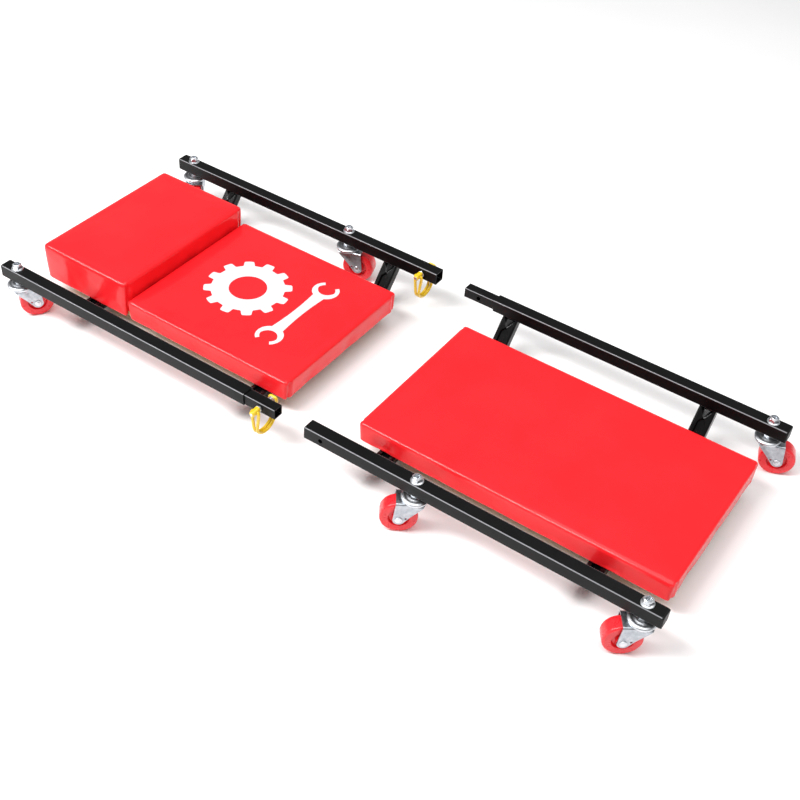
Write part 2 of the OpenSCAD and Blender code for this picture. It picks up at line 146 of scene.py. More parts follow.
# ---------------------------------------------------------------- surfaces
@dataclass
class Surface:
    """Points and four-sided faces, computed as whole arrays."""

    points: np.ndarray
    faces: np.ndarray

    @classmethod
    def grid(cls, points: np.ndarray, wrap_u: bool = False, wrap_v: bool = False) -> "Surface":
        """Joins a (u, v, 3) array of points with quads, closing it where it wraps.

        Args:
            points: Points on the two parameters.
            wrap_u: Whether the last row joins the first.
            wrap_v: Whether the last column joins the first.

        Returns:
            The surface.
        """
        rows, columns = points.shape[:2]
        index = np.arange(rows * columns).reshape(rows, columns)
        if wrap_u:
            index = np.vstack([index, index[:1]])
        if wrap_v:
            index = np.hstack([index, index[:, :1]])
        corners = (index[:-1, :-1], index[1:, :-1], index[1:, 1:], index[:-1, 1:])
        return cls(points.reshape(-1, 3), np.stack(corners, -1).reshape(-1, 4))

    def __add__(self, other: "Surface") -> "Surface":
        """Both surfaces as one."""
        faces = np.vstack([self.faces, other.faces + len(self.points)])
        return Surface(np.vstack([self.points, other.points]), faces)

    def moved(self, angle: float = 0.0, shift: Sequence[float] = (0, 0, 0)) -> "Surface":
        """Turns the surface about z and then shifts it.

        Args:
            angle: Angle of the turn in degrees.
            shift: The shift along x, y and z.

        Returns:
            The moved surface.
        """
        c, s = math.cos(math.radians(angle)), math.sin(math.radians(angle))
        turn = np.array([[c, -s, 0], [s, c, 0], [0, 0, 1.0]])
        return Surface(self.points @ turn.T + np.array(shift, float), self.faces)

    def at(self, centre: np.ndarray) -> "Surface":
        """The surface, given in millimetres, with its origin at a place in metres."""
        return Surface(self.points * MM + centre, self.faces)


def bell(value: np.ndarray, width: float) -> np.ndarray:
    """One over e to the square of value over width."""
    return np.exp(-((value / width) ** 2))


def smooth_step(value: np.ndarray) -> np.ndarray:
    """Three value squared less two value cubed, held between 0 and 1."""
    held = np.clip(value, 0.0, 1.0)
    return held * held * (3 - 2 * held)


def rounded_square(size: float, radius: float, steps: int = 6) -> np.ndarray:
    """Outline of a square with round corners: four quarter circles in turn.

    Args:
        size: Side of the square.
        radius: Radius of its corners.
        steps: Steps in each corner.

    Returns:
        Array (n, 2) running anticlockwise.
    """
    turn = np.linspace(0, math.pi / 2, steps + 1)
    centre = size / 2 - radius
    angles = turn[None, :] + np.arange(4)[:, None] * math.pi / 2
    signs = np.array([[1, 1], [-1, 1], [-1, -1], [1, -1]], float)
    arc = radius * np.stack([np.cos(angles), np.sin(angles)], -1)
    return (signs[:, None, :] * centre + arc).reshape(-1, 2)


def turned(profile: Sequence[tuple[float, ...]], sides: int = 0, steps: int = 48) -> Surface:
    """Surface of revolution about z, whose stations may be cut by flats.

    A station is (z, radius) or (z, radius, reach of the flats). Its outline at an
    angle is the smaller of the radius and the reach over the cosine of the angle
    to the nearest flat.

    Args:
        profile: The stations from the bottom pole to the top pole.
        sides: Number of flats.
        steps: Steps round the axis.

    Returns:
        The closed surface.
    """
    turn = np.arange(steps) * 2 * math.pi / steps
    rows = np.array([(*p, math.inf) if len(p) == 2 else p for p in profile])
    reach = np.ones(steps)
    if sides:
        part = 2 * math.pi / sides
        reach = np.cos((turn + part / 2) % part - part / 2)
    radius = np.minimum(rows[:, 1:2], rows[:, 2:3] / np.maximum(np.abs(reach), 1e-6))
    height = np.broadcast_to(rows[:, :1], radius.shape)
    points = np.stack([radius * np.cos(turn), radius * np.sin(turn), height], -1)
    return Surface.grid(points, wrap_v=True)


def along_y(surface: Surface) -> Surface:
    """The surface with its z axis laid along y."""
    x, y, z = surface.points.T
    return Surface(np.stack([x, z, -y], -1), surface.faces)


def tube(start: float, end: float, size: float, wall: float, radius: float) -> Surface:
    """Square tube along x about the origin, with rounded corners and rims.

    Stations run along the outside, round the rim, back along the bore and round the
    other rim. Each is the outline inset by its depth in the wall.

    Args:
        start: First end.
        end: Second end.
        size: Outside of the square.
        wall: Wall thickness.
        radius: Outside corner radius.

    Returns:
        The closed surface.
    """
    rim = 0.25 * wall
    round_rim = 0.3 * rim
    near, far = start + 20, end - 20
    stations = np.array([
        [start + rim, 0], [near, 0], [far, 0], [end - rim, 0],
        [end - round_rim, round_rim], [end, rim], [end, wall - rim],
        [end - rim, wall], [far, wall], [near, wall], [start + rim, wall],
        [start, wall - rim], [start, rim], [start + round_rim, round_rim],
    ])
    outlines = np.stack(
        [rounded_square(size - 2 * d, max(radius - d, 0.3)) for d in stations[:, 1]]
    )
    x = np.broadcast_to(stations[:, :1, None], (*outlines.shape[:2], 1))
    return Surface.grid(np.concatenate([x, outlines], -1), wrap_u=True, wrap_v=True)


def rod_loop(path: np.ndarray, side: np.ndarray, radius: float, steps: int = 16) -> Surface:
    """Round wire along a closed path.

    Each ring is centre + radius (cos a side + sin a (tangent x side)).

    Args:
        path: Array (n, 3) of centres.
        side: Array (n, 3) of unit vectors square to the path.
        radius: Radius of the wire.
        steps: Steps round the wire.

    Returns:
        The closed surface.
    """
    tangent = np.roll(path, -1, 0) - np.roll(path, 1, 0)
    tangent /= np.linalg.norm(tangent, axis=1, keepdims=True)
    other = np.cross(tangent, side)
    turn = (np.arange(steps) * 2 * math.pi / steps)[:, None]
    ring = np.cos(turn) * side[:, None] + np.sin(turn) * other[:, None]
    return Surface.grid(path[:, None] + radius * ring, wrap_u=True, wrap_v=True)


# ---------------------------------------------------------------- meshes
def make_mesh(name: str, surface: Surface, weld: float = 1e-6) -> bpy.types.Mesh:
    """Puts a surface in metres into a mesh, with doubles merged and normals outwards.

    Args:
        name: Name of the mesh.
        surface: The surface.
        weld: Distance under which points are merged, in metres.

    Returns:
        The mesh.
    """
    mesh = bpy.data.meshes.new(name)
    mesh.vertices.add(len(surface.points))
    mesh.vertices.foreach_set("co", surface.points.astype(np.float32).ravel())
    count = len(surface.faces)
    mesh.loops.add(4 * count)
    mesh.loops.foreach_set("vertex_index", surface.faces.astype(np.int32).ravel())
    mesh.polygons.add(count)
    mesh.polygons.foreach_set("loop_start", np.arange(0, 4 * count, 4, dtype=np.int32))
    mesh.update(calc_edges=True)
    work = bmesh.new()
    work.from_mesh(mesh)
    bmesh.ops.remove_doubles(work, verts=work.verts, dist=weld)
    bmesh.ops.recalc_face_normals(work, faces=work.faces)
    work.to_mesh(mesh)
    work.free()
    return mesh


def read_points(mesh: bpy.types.Mesh) -> np.ndarray:
    """Reads the vertices of a mesh.

    Args:
        mesh: The mesh.

    Returns:
        Array (n, 3) in metres.
    """
    points = np.empty(len(mesh.vertices) * 3, np.float32)
    mesh.vertices.foreach_get("co", points)
    return points.reshape(-1, 3)


def add_object(name: str, mesh: bpy.types.Mesh) -> bpy.types.Object:
    """Links a new object that shows a mesh.

    Args:
        name: Name of the object.
        mesh: The mesh.

    Returns:
        The object.
    """
    piece = bpy.data.objects.new(name, mesh)
    bpy.context.scene.collection.objects.link(piece)
    return piece


def settle(piece: bpy.types.Object) -> None:
    """Applies all modifiers of a piece, by taking its evaluated mesh.

    Args:
        piece: The piece.
    """
    graph = bpy.context.evaluated_depsgraph_get()
    mesh = bpy.data.meshes.new_from_object(piece.evaluated_get(graph), depsgraph=graph)
    piece.modifiers.clear()
    piece.data = mesh


def shade(piece: bpy.types.Object, angle: float = 35.0) -> None:
    """Smooths a piece, keeps edges over the angle sharp and flat faces flat.

    Args:
        piece: The piece.
        angle: Edge angle in degrees from which an edge stays sharp.
    """
    piece.data.shade_smooth()
    piece.data.set_sharp_from_angle(angle=math.radians(angle))
    flat = piece.modifiers.new("flat faces", "WEIGHTED_NORMAL")
    flat.keep_sharp = True
    flat.weight = 100


def drill(piece: bpy.types.Object, cutter: Surface) -> None:
    """Cuts a closed surface, given in metres, out of a piece.

    Args:
        piece: The piece.
        cutter: What is cut away.
    """
    tool = add_object("cutter", make_mesh("cutter", cutter))
    cut = piece.modifiers.new("hole", "BOOLEAN")
    cut.operation = "DIFFERENCE"
    cut.solver = "EXACT"
    cut.object = tool
    settle(piece)
    bpy.data.objects.remove(tool)


def finish_piece(
    name: str,
    surface: Surface,
    finish: "Finish",
    body: str,
    stands_for: Sequence[str] = (),
    angle: float = 35.0,
) -> bpy.types.Object:
    """Makes a surface in metres a dressed piece that rides on a body.

    Args:
        name: Name of the piece.
        surface: Its surface in the frame.
        finish: Its finish.
        body: The body that it rides on.
        stands_for: CAD nodes that it replaces.
        angle: Edge angle that stays sharp.

    Returns:
        The piece.
    """
    piece = add_object(name, make_mesh(name, surface))
    return dress(piece, finish, body, stands_for, angle)


def dress(
    piece: bpy.types.Object,
    finish: "Finish",
    body: str,
    stands_for: Sequence[str] = (),
    angle: float = 35.0,
) -> bpy.types.Object:
    """Gives a piece its shading, finish, body and the CAD nodes it replaces.

    Args:
        piece: The piece.
        finish: Its finish.
        body: The body that it rides on.
        stands_for: CAD nodes that it replaces.
        angle: Edge angle that stays sharp.

    Returns:
        The piece.
    """
    shade(piece, angle)
    piece.data.materials.clear()
    piece.data.materials.append(finish.material())
    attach(piece, body)
    if stands_for:
        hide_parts(*stands_for)
    LOG.info("%s: %d faces, rides on %s", piece.name, len(piece.data.polygons), body)
    return piece


def dress_node(node: str, finish: "Finish", edge: float = 0.4) -> None:
    """Gives a CAD node its finish and small rounded edges.

    Args:
        node: Name of the node.
        finish: Its finish.
        edge: Edge radius in millimetres.
    """
    piece = frame["nodes"][node]
    piece.data.materials.clear()
    piece.data.materials.append(finish.material())
    piece.data.shade_smooth()
    weld = piece.modifiers.new("weld", "WELD")
    weld.merge_threshold = 1e-6
    if edge:
        bevel = piece.modifiers.new("edges", "BEVEL")
        bevel.width = edge * MM
        bevel.segments = 2
        bevel.limit_method = "ANGLE"
        bevel.angle_limit = math.radians(40)
    flat = piece.modifiers.new("flat faces", "WEIGHTED_NORMAL")
    flat.weight = 100
    LOG.info("%s: CAD node, %s", node, finish.name)


# ---------------------------------------------------------------- finishes
def linear(colour: str) -> tuple[float, float, float, float]:
    """Turns an sRGB colour into a linear one.

    Args:
        colour: Hex colour such as #102030.

    Returns:
        Linear red, green, blue and alpha.
    """
    parts = np.array([int(colour[i : i + 2], 16) for i in (1, 3, 5)]) / 255
    low, high = parts / 12.92, ((parts + 0.055) / 1.055) ** 2.4
    return (*(float(v) for v in np.where(parts <= 0.04045, low, high)), 1.0)


def per_mm(size: float) -> float:
    """Pattern scale whose cells measure size millimetres on Object coordinates."""
    return 1 / (size * MM)


def add_node(
    tree: bpy.types.NodeTree, kind: str, inputs: dict | None = None, **settings: object
) -> bpy.types.Node:
    """Adds a node with its settings, input values and links.

    Args:
        tree: The node tree.
        kind: Type name of the node.
        inputs: Value, or socket to link from, by input name or number.
        **settings: Properties of the node.

    Returns:
        The node.
    """
    made = tree.nodes.new(kind)
    for name, value in settings.items():
        setattr(made, name, value)
    for key, value in (inputs or {}).items():
        if isinstance(value, Socket):
            tree.links.new(value, made.inputs[key])
        else:
            made.inputs[key].default_value = value
    return made


class Grain(Enum):
    """Kinds of relief that a finish can carry."""

    NOISE = "ShaderNodeTexNoise"
    CELLS = "ShaderNodeTexVoronoi"


@dataclass(frozen=True)
class Relief:
    """One layer of bump.

    Args:
        grain: Kind of pattern.
        size: Size of its cells in millimetres.
        depth: Height of its relief in millimetres.
        strength: Share of the relief that shows.
        stretch: Stretch of the pattern along x, y and z.
    """

    grain: Grain
    size: float
    depth: float
    strength: float = 0.5
    stretch: tuple[float, float, float] = (1, 1, 1)


@dataclass(frozen=True)
class Finish:
    """A surface finish that varies in colour, gloss and relief.

    Args:
        name: Real material and process.
        light: Colour of its lighter patches.
        dark: Colour of its darker patches.
        patch: Size of the patches in millimetres.
        gloss: Lowest and highest roughness.
        metallic: Share of metal.
        coat: Weight of a clear coat.
        coat_roughness: Roughness of the clear coat.
        ior: Refractive index of a non-metal.
        specular: Share of reflection, half being what the index gives.
        worn: Colour where the finish is rubbed.
        wear: Share of the surface that is rubbed, from 0 to 1.
        wear_size: Size of the rubbed marks in millimetres.
        relief: Layers of bump, coarse first.
    """

    name: str
    light: str
    dark: str
    patch: float
    gloss: tuple[float, float]
    metallic: float = 0.0
    coat: float = 0.0
    coat_roughness: float = 0.1
    ior: float = 1.5
    specular: float = 0.5
    worn: str = "#808080"
    wear: float = 0.0
    wear_size: float = 3.0
    relief: tuple[Relief, ...] = ()

    @cache
    def material(self) -> bpy.types.Material:
        """The finish as a node material, made once.

        Returns:
            The material.
        """
        made = bpy.data.materials.new(self.name)
        made.use_nodes = True
        tree = made.node_tree
        tree.nodes.clear()
        where = add_node(tree, "ShaderNodeTexCoord").outputs["Object"]
        inputs = {
            "Base Color": self.colour(tree, where), "Roughness": self.roughness(tree, where),
            "Metallic": self.metallic, "Coat Weight": self.coat,
            "Coat Roughness": self.coat_roughness,
        }
        if not self.metallic:
            inputs |= {"IOR": self.ior, "Specular IOR Level": self.specular}
        if self.relief:
            inputs["Normal"] = self.bumps(tree, where)
        shader = add_node(tree, "ShaderNodeBsdfPrincipled", inputs)
        add_node(tree, "ShaderNodeOutputMaterial", {"Surface": shader.outputs[0]})
        return made

    def colour(self, tree: bpy.types.NodeTree, where: Socket) -> Socket:
        """Colour that wanders between light and dark, with rubbed marks over it.

        Args:
            tree: The node tree.
            where: Socket of the object coordinates.

        Returns:
            Socket of the colour.
        """
        cloud = add_node(
            tree, "ShaderNodeTexNoise",
            {"Vector": where, "Scale": per_mm(self.patch), "Detail": 4.0, "Roughness": 0.6},
        )
        spread = add_node(
            tree, "ShaderNodeMapRange",
            {"Value": cloud.outputs["Fac"], "From Min": 0.3, "From Max": 0.7},
        )
        base = add_node(
            tree, "ShaderNodeMix",
            {0: spread.outputs[0], 6: linear(self.dark), 7: linear(self.light)},
            data_type="RGBA",
        ).outputs[2]
        if not self.wear:
            return base
        return add_node(
            tree, "ShaderNodeMix",
            {0: self.rubbed(tree, where), 6: base, 7: linear(self.worn)},
            data_type="RGBA",
        ).outputs[2]

    def rubbed(self, tree: bpy.types.NodeTree, where: Socket) -> Socket:
        """Thin rubbed marks, where the product of a broad and a fine noise is high.

        Args:
            tree: The node tree.
            where: Socket of the object coordinates.

        Returns:
            Socket of the share of rubbed surface.
        """
        broad = add_node(
            tree, "ShaderNodeTexNoise",
            {"Vector": where, "Scale": per_mm(self.wear_size * 9), "Detail": 2.0},
        )
        fine = add_node(
            tree, "ShaderNodeTexNoise",
            {"Vector": where, "Scale": per_mm(self.wear_size), "Detail": 6.0, "Roughness": 0.7},
        )
        both = add_node(
            tree, "ShaderNodeMath", {0: broad.outputs["Fac"], 1: fine.outputs["Fac"]},
            operation="MULTIPLY",
        )
        # the product is about a quarter on average, and more wear moves the edge towards it
        edge = 0.42 - 0.2 * self.wear
        return add_node(
            tree, "ShaderNodeMapRange",
            {"Value": both.outputs[0], "From Min": edge, "From Max": edge + 0.08, "To Max": 0.7},
        ).outputs[0]

    def roughness(self, tree: bpy.types.NodeTree, where: Socket) -> Socket:
        """Roughness that wanders between the two gloss values.

        Args:
            tree: The node tree.
            where: Socket of the object coordinates.

        Returns:
            Socket of the roughness.
        """
        cloud = add_node(
            tree, "ShaderNodeTexNoise",
            {"Vector": where, "Scale": per_mm(self.patch * 0.4), "Detail": 5.0},
        )
        return add_node(
            tree, "ShaderNodeMapRange",
            {
                "Value": cloud.outputs["Fac"], "From Min": 0.3, "From Max": 0.7,
                "To Min": self.gloss[0], "To Max": self.gloss[1],
            },
        ).outputs[0]

    def bumps(self, tree: bpy.types.NodeTree, where: Socket) -> Socket | None:
        """Layers of bump, each on top of the one before.

        Args:
            tree: The node tree.
            where: Socket of the object coordinates.

        Returns:
            Socket of the normal, or None for a finish without relief.
        """
        normal = None
        for layer in self.relief:
            mapped = add_node(
                tree, "ShaderNodeMapping", {"Vector": where, "Scale": layer.stretch}
            ).outputs[0]
            pattern = add_node(
                tree, layer.grain.value, {"Vector": mapped, "Scale": per_mm(layer.size)}
            )
            inputs = {
                "Height": pattern.outputs[0], "Distance": layer.depth * MM,
                "Strength": layer.strength,
            }
            if normal:
                inputs["Normal"] = normal
            normal = add_node(tree, "ShaderNodeBump", inputs).outputs[0]
        return normal


@dataclass(frozen=True)
class EdgeHighlightCoat(Finish):
    """Powder coat on square tube, glossier on the rounded edges, where a lighter colour is painted
    on as a highlight.

    An edge is where the surface looks along both y and z: its share is the product of
    those two parts of the normal.

    Args:
        painted_highlight_colour: Lighter colour on the rounded edges, a painted highlight.
        edge_gloss: Roughness of the edge.
        edge_start: Product of the normal's parts at which the edge begins.
        edge_full: Product at which the edge is full, half being the most it can be.
    """

    painted_highlight_colour: str = "#8A8A8E"
    edge_gloss: float = 0.14
    edge_start: float = 0.3
    edge_full: float = 0.48

    def edges(self, tree: bpy.types.NodeTree) -> Socket:
        """Share of edge, from 0 on the flats to 1 on the edges.

        Args:
            tree: The node tree.

        Returns:
            Socket of the share.
        """
        normal = add_node(tree, "ShaderNodeNewGeometry").outputs["Normal"]
        parts = add_node(tree, "ShaderNodeSeparateXYZ", {0: normal})
        both = add_node(
            tree, "ShaderNodeMath", {0: parts.outputs[1], 1: parts.outputs[2]}, operation="MULTIPLY"
        ).outputs[0]
        size = add_node(tree, "ShaderNodeMath", {0: both}, operation="ABSOLUTE").outputs[0]
        return add_node(
            tree, "ShaderNodeMapRange",
            {"Value": size, "From Min": self.edge_start, "From Max": self.edge_full},
        ).outputs[0]

    def colour(self, tree: bpy.types.NodeTree, where: Socket) -> Socket:
        """The coat's colour, lighter along the edges as a painted highlight.

        Args:
            tree: The node tree.
            where: Socket of the object coordinates.

        Returns:
            Socket of the colour.
        """
        # mixes in the lighter edge colour, a painted highlight along the rounded edges
        return add_node(
            tree, "ShaderNodeMix",
            {0: self.edges(tree), 6: super().colour(tree, where), 7: linear(self.painted_highlight_colour)},
            data_type="RGBA",
        ).outputs[2]

    def roughness(self, tree: bpy.types.NodeTree, where: Socket) -> Socket:
        """The coat's roughness, glossier along the edges.

        Args:
            tree: The node tree.
            where: Socket of the object coordinates.

        Returns:
            Socket of the roughness.
        """
        return add_node(
            tree, "ShaderNodeMix",
            {0: self.edges(tree), 2: super().roughness(tree, where), 3: self.edge_gloss},
            data_type="FLOAT",
        ).outputs[0]


# Epoxy powder baked on steel: satin black with a faint orange peel, and a painted highlight on its
# rounded edges.
RAIL_COAT = EdgeHighlightCoat(
    "black epoxy powder coat", "#0C0C0D", "#060607", 60, (0.32, 0.44), ior=1.5, specular=0.18,
    worn="#3C3C3F", wear=0.12, wear_size=1.6,
    relief=(Relief(Grain.NOISE, 3.0, 0.06, 0.35), Relief(Grain.CELLS, 1.1, 0.03, 0.25)),
)
# Dipped and baked gloss enamel: deeper black and sharper lights than the rails.
BAR_COAT = Finish(
    "black gloss enamel on pressed steel", "#0B0B0C", "#050506", 40, (0.14, 0.22), ior=1.52,
    specular=0.2, coat=0.12, coat_roughness=0.08, worn="#38383A", wear=0.1, wear_size=1.4,
    relief=(Relief(Grain.NOISE, 5.0, 0.08, 0.35),),
)
# Injection moulded polythene caps: dull black with a fine spark texture.
CAP_PLASTIC = Finish(
    "moulded black polythene", "#0E0E0F", "#08080A", 12, (0.4, 0.52), ior=1.51, specular=0.22,
    worn="#343436", wear=0.15, wear_size=1.2,
    relief=(Relief(Grain.NOISE, 0.7, 0.04, 0.5),),
)
# Bright zinc plate, clear passivated: cool mirror with small cloudy patches.
ZINC = Finish(
    "clear passivated zinc plate", "#E2E4E7", "#C6CACF", 5, (0.3, 0.42), metallic=1.0,
    worn="#8F9296", wear=0.05, wear_size=0.9,
    relief=(Relief(Grain.NOISE, 1.2, 0.02, 0.4),),
)
# Zinc plated pressed sheet: the same plate, duller, with drawing marks.
ZINC_SHEET = Finish(
    "zinc plated pressed sheet", "#C3C7CC", "#9CA1A8", 7, (0.26, 0.44), metallic=1.0,
    worn="#74777B", wear=0.18, wear_size=1.0,
    relief=(Relief(Grain.NOISE, 2.4, 0.05, 0.5, (1, 1, 0.25)), Relief(Grain.NOISE, 0.6, 0.02, 0.4)),
)
# Injection moulded polyolefin wheels: glossy red with a faint flow pattern.
WHEEL_RED = Finish(
    "moulded red polypropylene", "#F1262F", "#E01C26", 14, (0.24, 0.36), ior=1.49,
    coat=0.15, coat_roughness=0.15, worn="#BE2A31", wear=0.1, wear_size=1.3,
    relief=(Relief(Grain.NOISE, 4.0, 0.05, 0.3), Relief(Grain.NOISE, 0.8, 0.02, 0.3)),
)
# PVC coated cloth over foam: glossy red skin with a fine pressed leather grain.
VINYL = Finish(
    "red PVC coated cloth", "#F42128", "#EC1A22", 90, (0.34, 0.44), ior=1.5,
    specular=0.15, coat=0.5, coat_roughness=0.09, worn="#D61C24", wear=0.05, wear_size=3.0,
    relief=(
        Relief(Grain.NOISE, 60, 0.5, 0.15), Relief(Grain.CELLS, 1.6, 0.12, 0.35),
        Relief(Grain.NOISE, 0.7, 0.05, 0.3),
    ),
)
# Screen printed vinyl ink: flat white, thin enough to show the grain.
PRINT = Finish(
    "white screen printed ink", "#D6D7DA", "#CACBCF", 12, (0.45, 0.6), ior=1.48,
    worn="#E58A8C", wear=0.12, wear_size=1.6,
    relief=(Relief(Grain.CELLS, 1.6, 0.1, 0.3),),
)
# Poplar plywood: pale, with long grain along the board.
PLYWOOD = Finish(
    "raw poplar plywood", "#C9A877", "#A8834F", 30, (0.6, 0.8), ior=1.5,
    worn="#7D5C34", wear=0.15, wear_size=2.5,
    relief=(Relief(Grain.NOISE, 4.0, 0.2, 0.5, (0.08, 1, 1)),),
)
# Brush painted wire: thick yellow enamel with drips and bare spots.
YELLOW = Finish(
    "yellow enamel on spring wire", "#F0CC20", "#DDB312", 6, (0.22, 0.36), ior=1.52,
    coat=0.3, coat_roughness=0.12, worn="#9C8A3C", wear=0.16, wear_size=0.8,
    relief=(Relief(Grain.NOISE, 2.5, 0.1, 0.4),),
)
# Painted studio floor: plain pale matt.
FLOOR = Finish("matt pale floor paint", "#FBFBFB", "#F7F7F7", 800, (0.85, 0.95))


# ---------------------------------------------------------------- side rails
@dataclass
class Rails:
    """Side rails, tongues and end caps of one half, in millimetres."""

    datum: Datum
    half: Half
    wall: float = 1.5
    corner: float = 2.0
    tongue_corner: float = 1.6
    hole: float = 6.8
    cap_corner: float = 2.6
    cap_edge: float = 1.0
    plug_gap: float = 0.3
    plug_wall: float = 1.5

    def pin_places(self) -> tuple[float, float]:
        """Distances of the tongue's and the socket's pin hole from the outer end."""
        near, far = (self.datum.local(n) for n in ("near_pin", "far_pin"))
        return (near[0][0] + near[1][0]) / 2, (far[0][0] + far[1][0]) / 2

    def build(self) -> None:
        """Makes both rails, the tongue and the two caps."""
        tongue_hole, socket_hole = self.pin_places()
        self.tube_piece("socket_rail", self.corner, socket_hole)
        self.tube_piece("tongue_rail", self.corner, None)
        self.tube_piece("tongue", self.tongue_corner, tongue_hole)
        self.caps()

    def tube_piece(self, part: str, radius: float, hole: float | None) -> None:
        """Makes one tube in the box of its CAD node, with a pin hole through it.

        Args:
            part: Name of the CAD node after the half's name.
            radius: Corner radius.
            hole: Distance of the pin hole from the outer end, if it has one.
        """
        node = f"{self.half.value}_{part}"
        low, high = self.datum.local(node, self.half)
        _, middle_y, middle_z = (low + high) / 2
        body = tube(low[0], high[0], high[2] - low[2], self.wall, radius)
        body = self.datum.lay(body.moved(shift=(0, middle_y, middle_z)), self.half)
        piece = add_object(node + "_tube", make_mesh(node, body))
        if hole is not None:
            depth, reach = high[1] - low[1], self.hole / 2
            bore = along_y(turned([(-depth, 0), (-depth, reach), (depth, reach), (depth, 0)]))
            bore = bore.moved(shift=(hole, middle_y, middle_z))
            drill(piece, self.datum.lay(bore, self.half))
        dress(piece, RAIL_COAT, self.half.body, [node])

    def caps(self) -> None:
        """Makes the two end caps: a pillowed plate with a hollow plug behind it.

        A station is (x, side) of a rounded square. They start at the middle of the
        outer face, run over the plate's edge and the plug, and end inside the plug.
        """
        node = f"{self.half.value}_end_caps"
        low, high = self.datum.local(node, self.half)
        rail_low, rail_high = self.datum.local(f"{self.half.value}_socket_rail", self.half)
        size = rail_high[2] - rail_low[2]
        plate, end = rail_low[0] - low[0], high[0] - low[0]
        plug = size - 2 * self.wall - self.plug_gap
        plug_bore = plug - 2 * self.plug_wall
        edge = self.cap_edge
        stations = np.array([
            (0, 0), (0, size - 2 * edge - 3), (0.15 * edge, size - 1.2 * edge),
            (0.7 * edge, size - 0.3 * edge), (1.3 * edge, size), (plate, size), (plate, plug),
            (end - 0.6, plug), (end, plug - 0.8), (end, plug_bore), (plate, plug_bore), (plate, 0),
        ])
        outlines = np.stack(
            [rounded_square(side, min(self.cap_corner, side / 2)) for side in stations[:, 1]]
        )
        x = np.broadcast_to(stations[:, :1, None] + low[0], (*outlines.shape[:2], 1))
        one = Surface.grid(np.concatenate([x, outlines], -1), wrap_v=True)
        reach = (high[1] - low[1]) / 2 - size / 2
        height = (rail_low[2] + rail_high[2]) / 2
        both = one.moved(shift=(0, reach, height)) + one.moved(shift=(0, -reach, height))
        both = self.datum.lay(both, self.half)
        finish_piece(node + "_moulded", both, CAP_PLASTIC, self.half.body, [node])


# ---------------------------------------------------------------- crossbars
@dataclass(frozen=True)
class BarLine:
    """Course of a crossbar's top: down the leg from its rail, then level to the middle.

    A place on it is 0 at the rail, 1 at the bend and 2 at the middle of the bar.

    Args:
        rail: Distance across and height where the top meets the rail.
        bend: Distance across and height of the bend.
        slope: Angle of the leg in radians.
    """

    rail: tuple[float, float]
    bend: tuple[float, float]
    slope: float

    def at(self, place: np.ndarray, deep: np.ndarray) -> tuple[np.ndarray, np.ndarray]:
        """Follows the line that runs at a depth below the top.

        At a depth the leg's end lies further out by depth over sin(slope), and the
        bend by depth times tan(slope / 2).

        Args:
            place: Array (n) of places along the line.
            deep: Array (n, m) of depths.

        Returns:
            Distances across and heights, both (n, m).
        """
        y_end = self.rail[0] + deep / math.sin(self.slope)
        y_bend = self.bend[0] + deep * math.tan(self.slope / 2)
        z_end, z_bend = self.rail[1], self.bend[1] - deep
        t = place[:, None]
        y = np.where(t <= 1, y_end + (y_bend - y_end) * t, y_bend * (2 - t))
        return y, np.where(t <= 1, z_end + (z_bend - z_end) * t, z_bend)


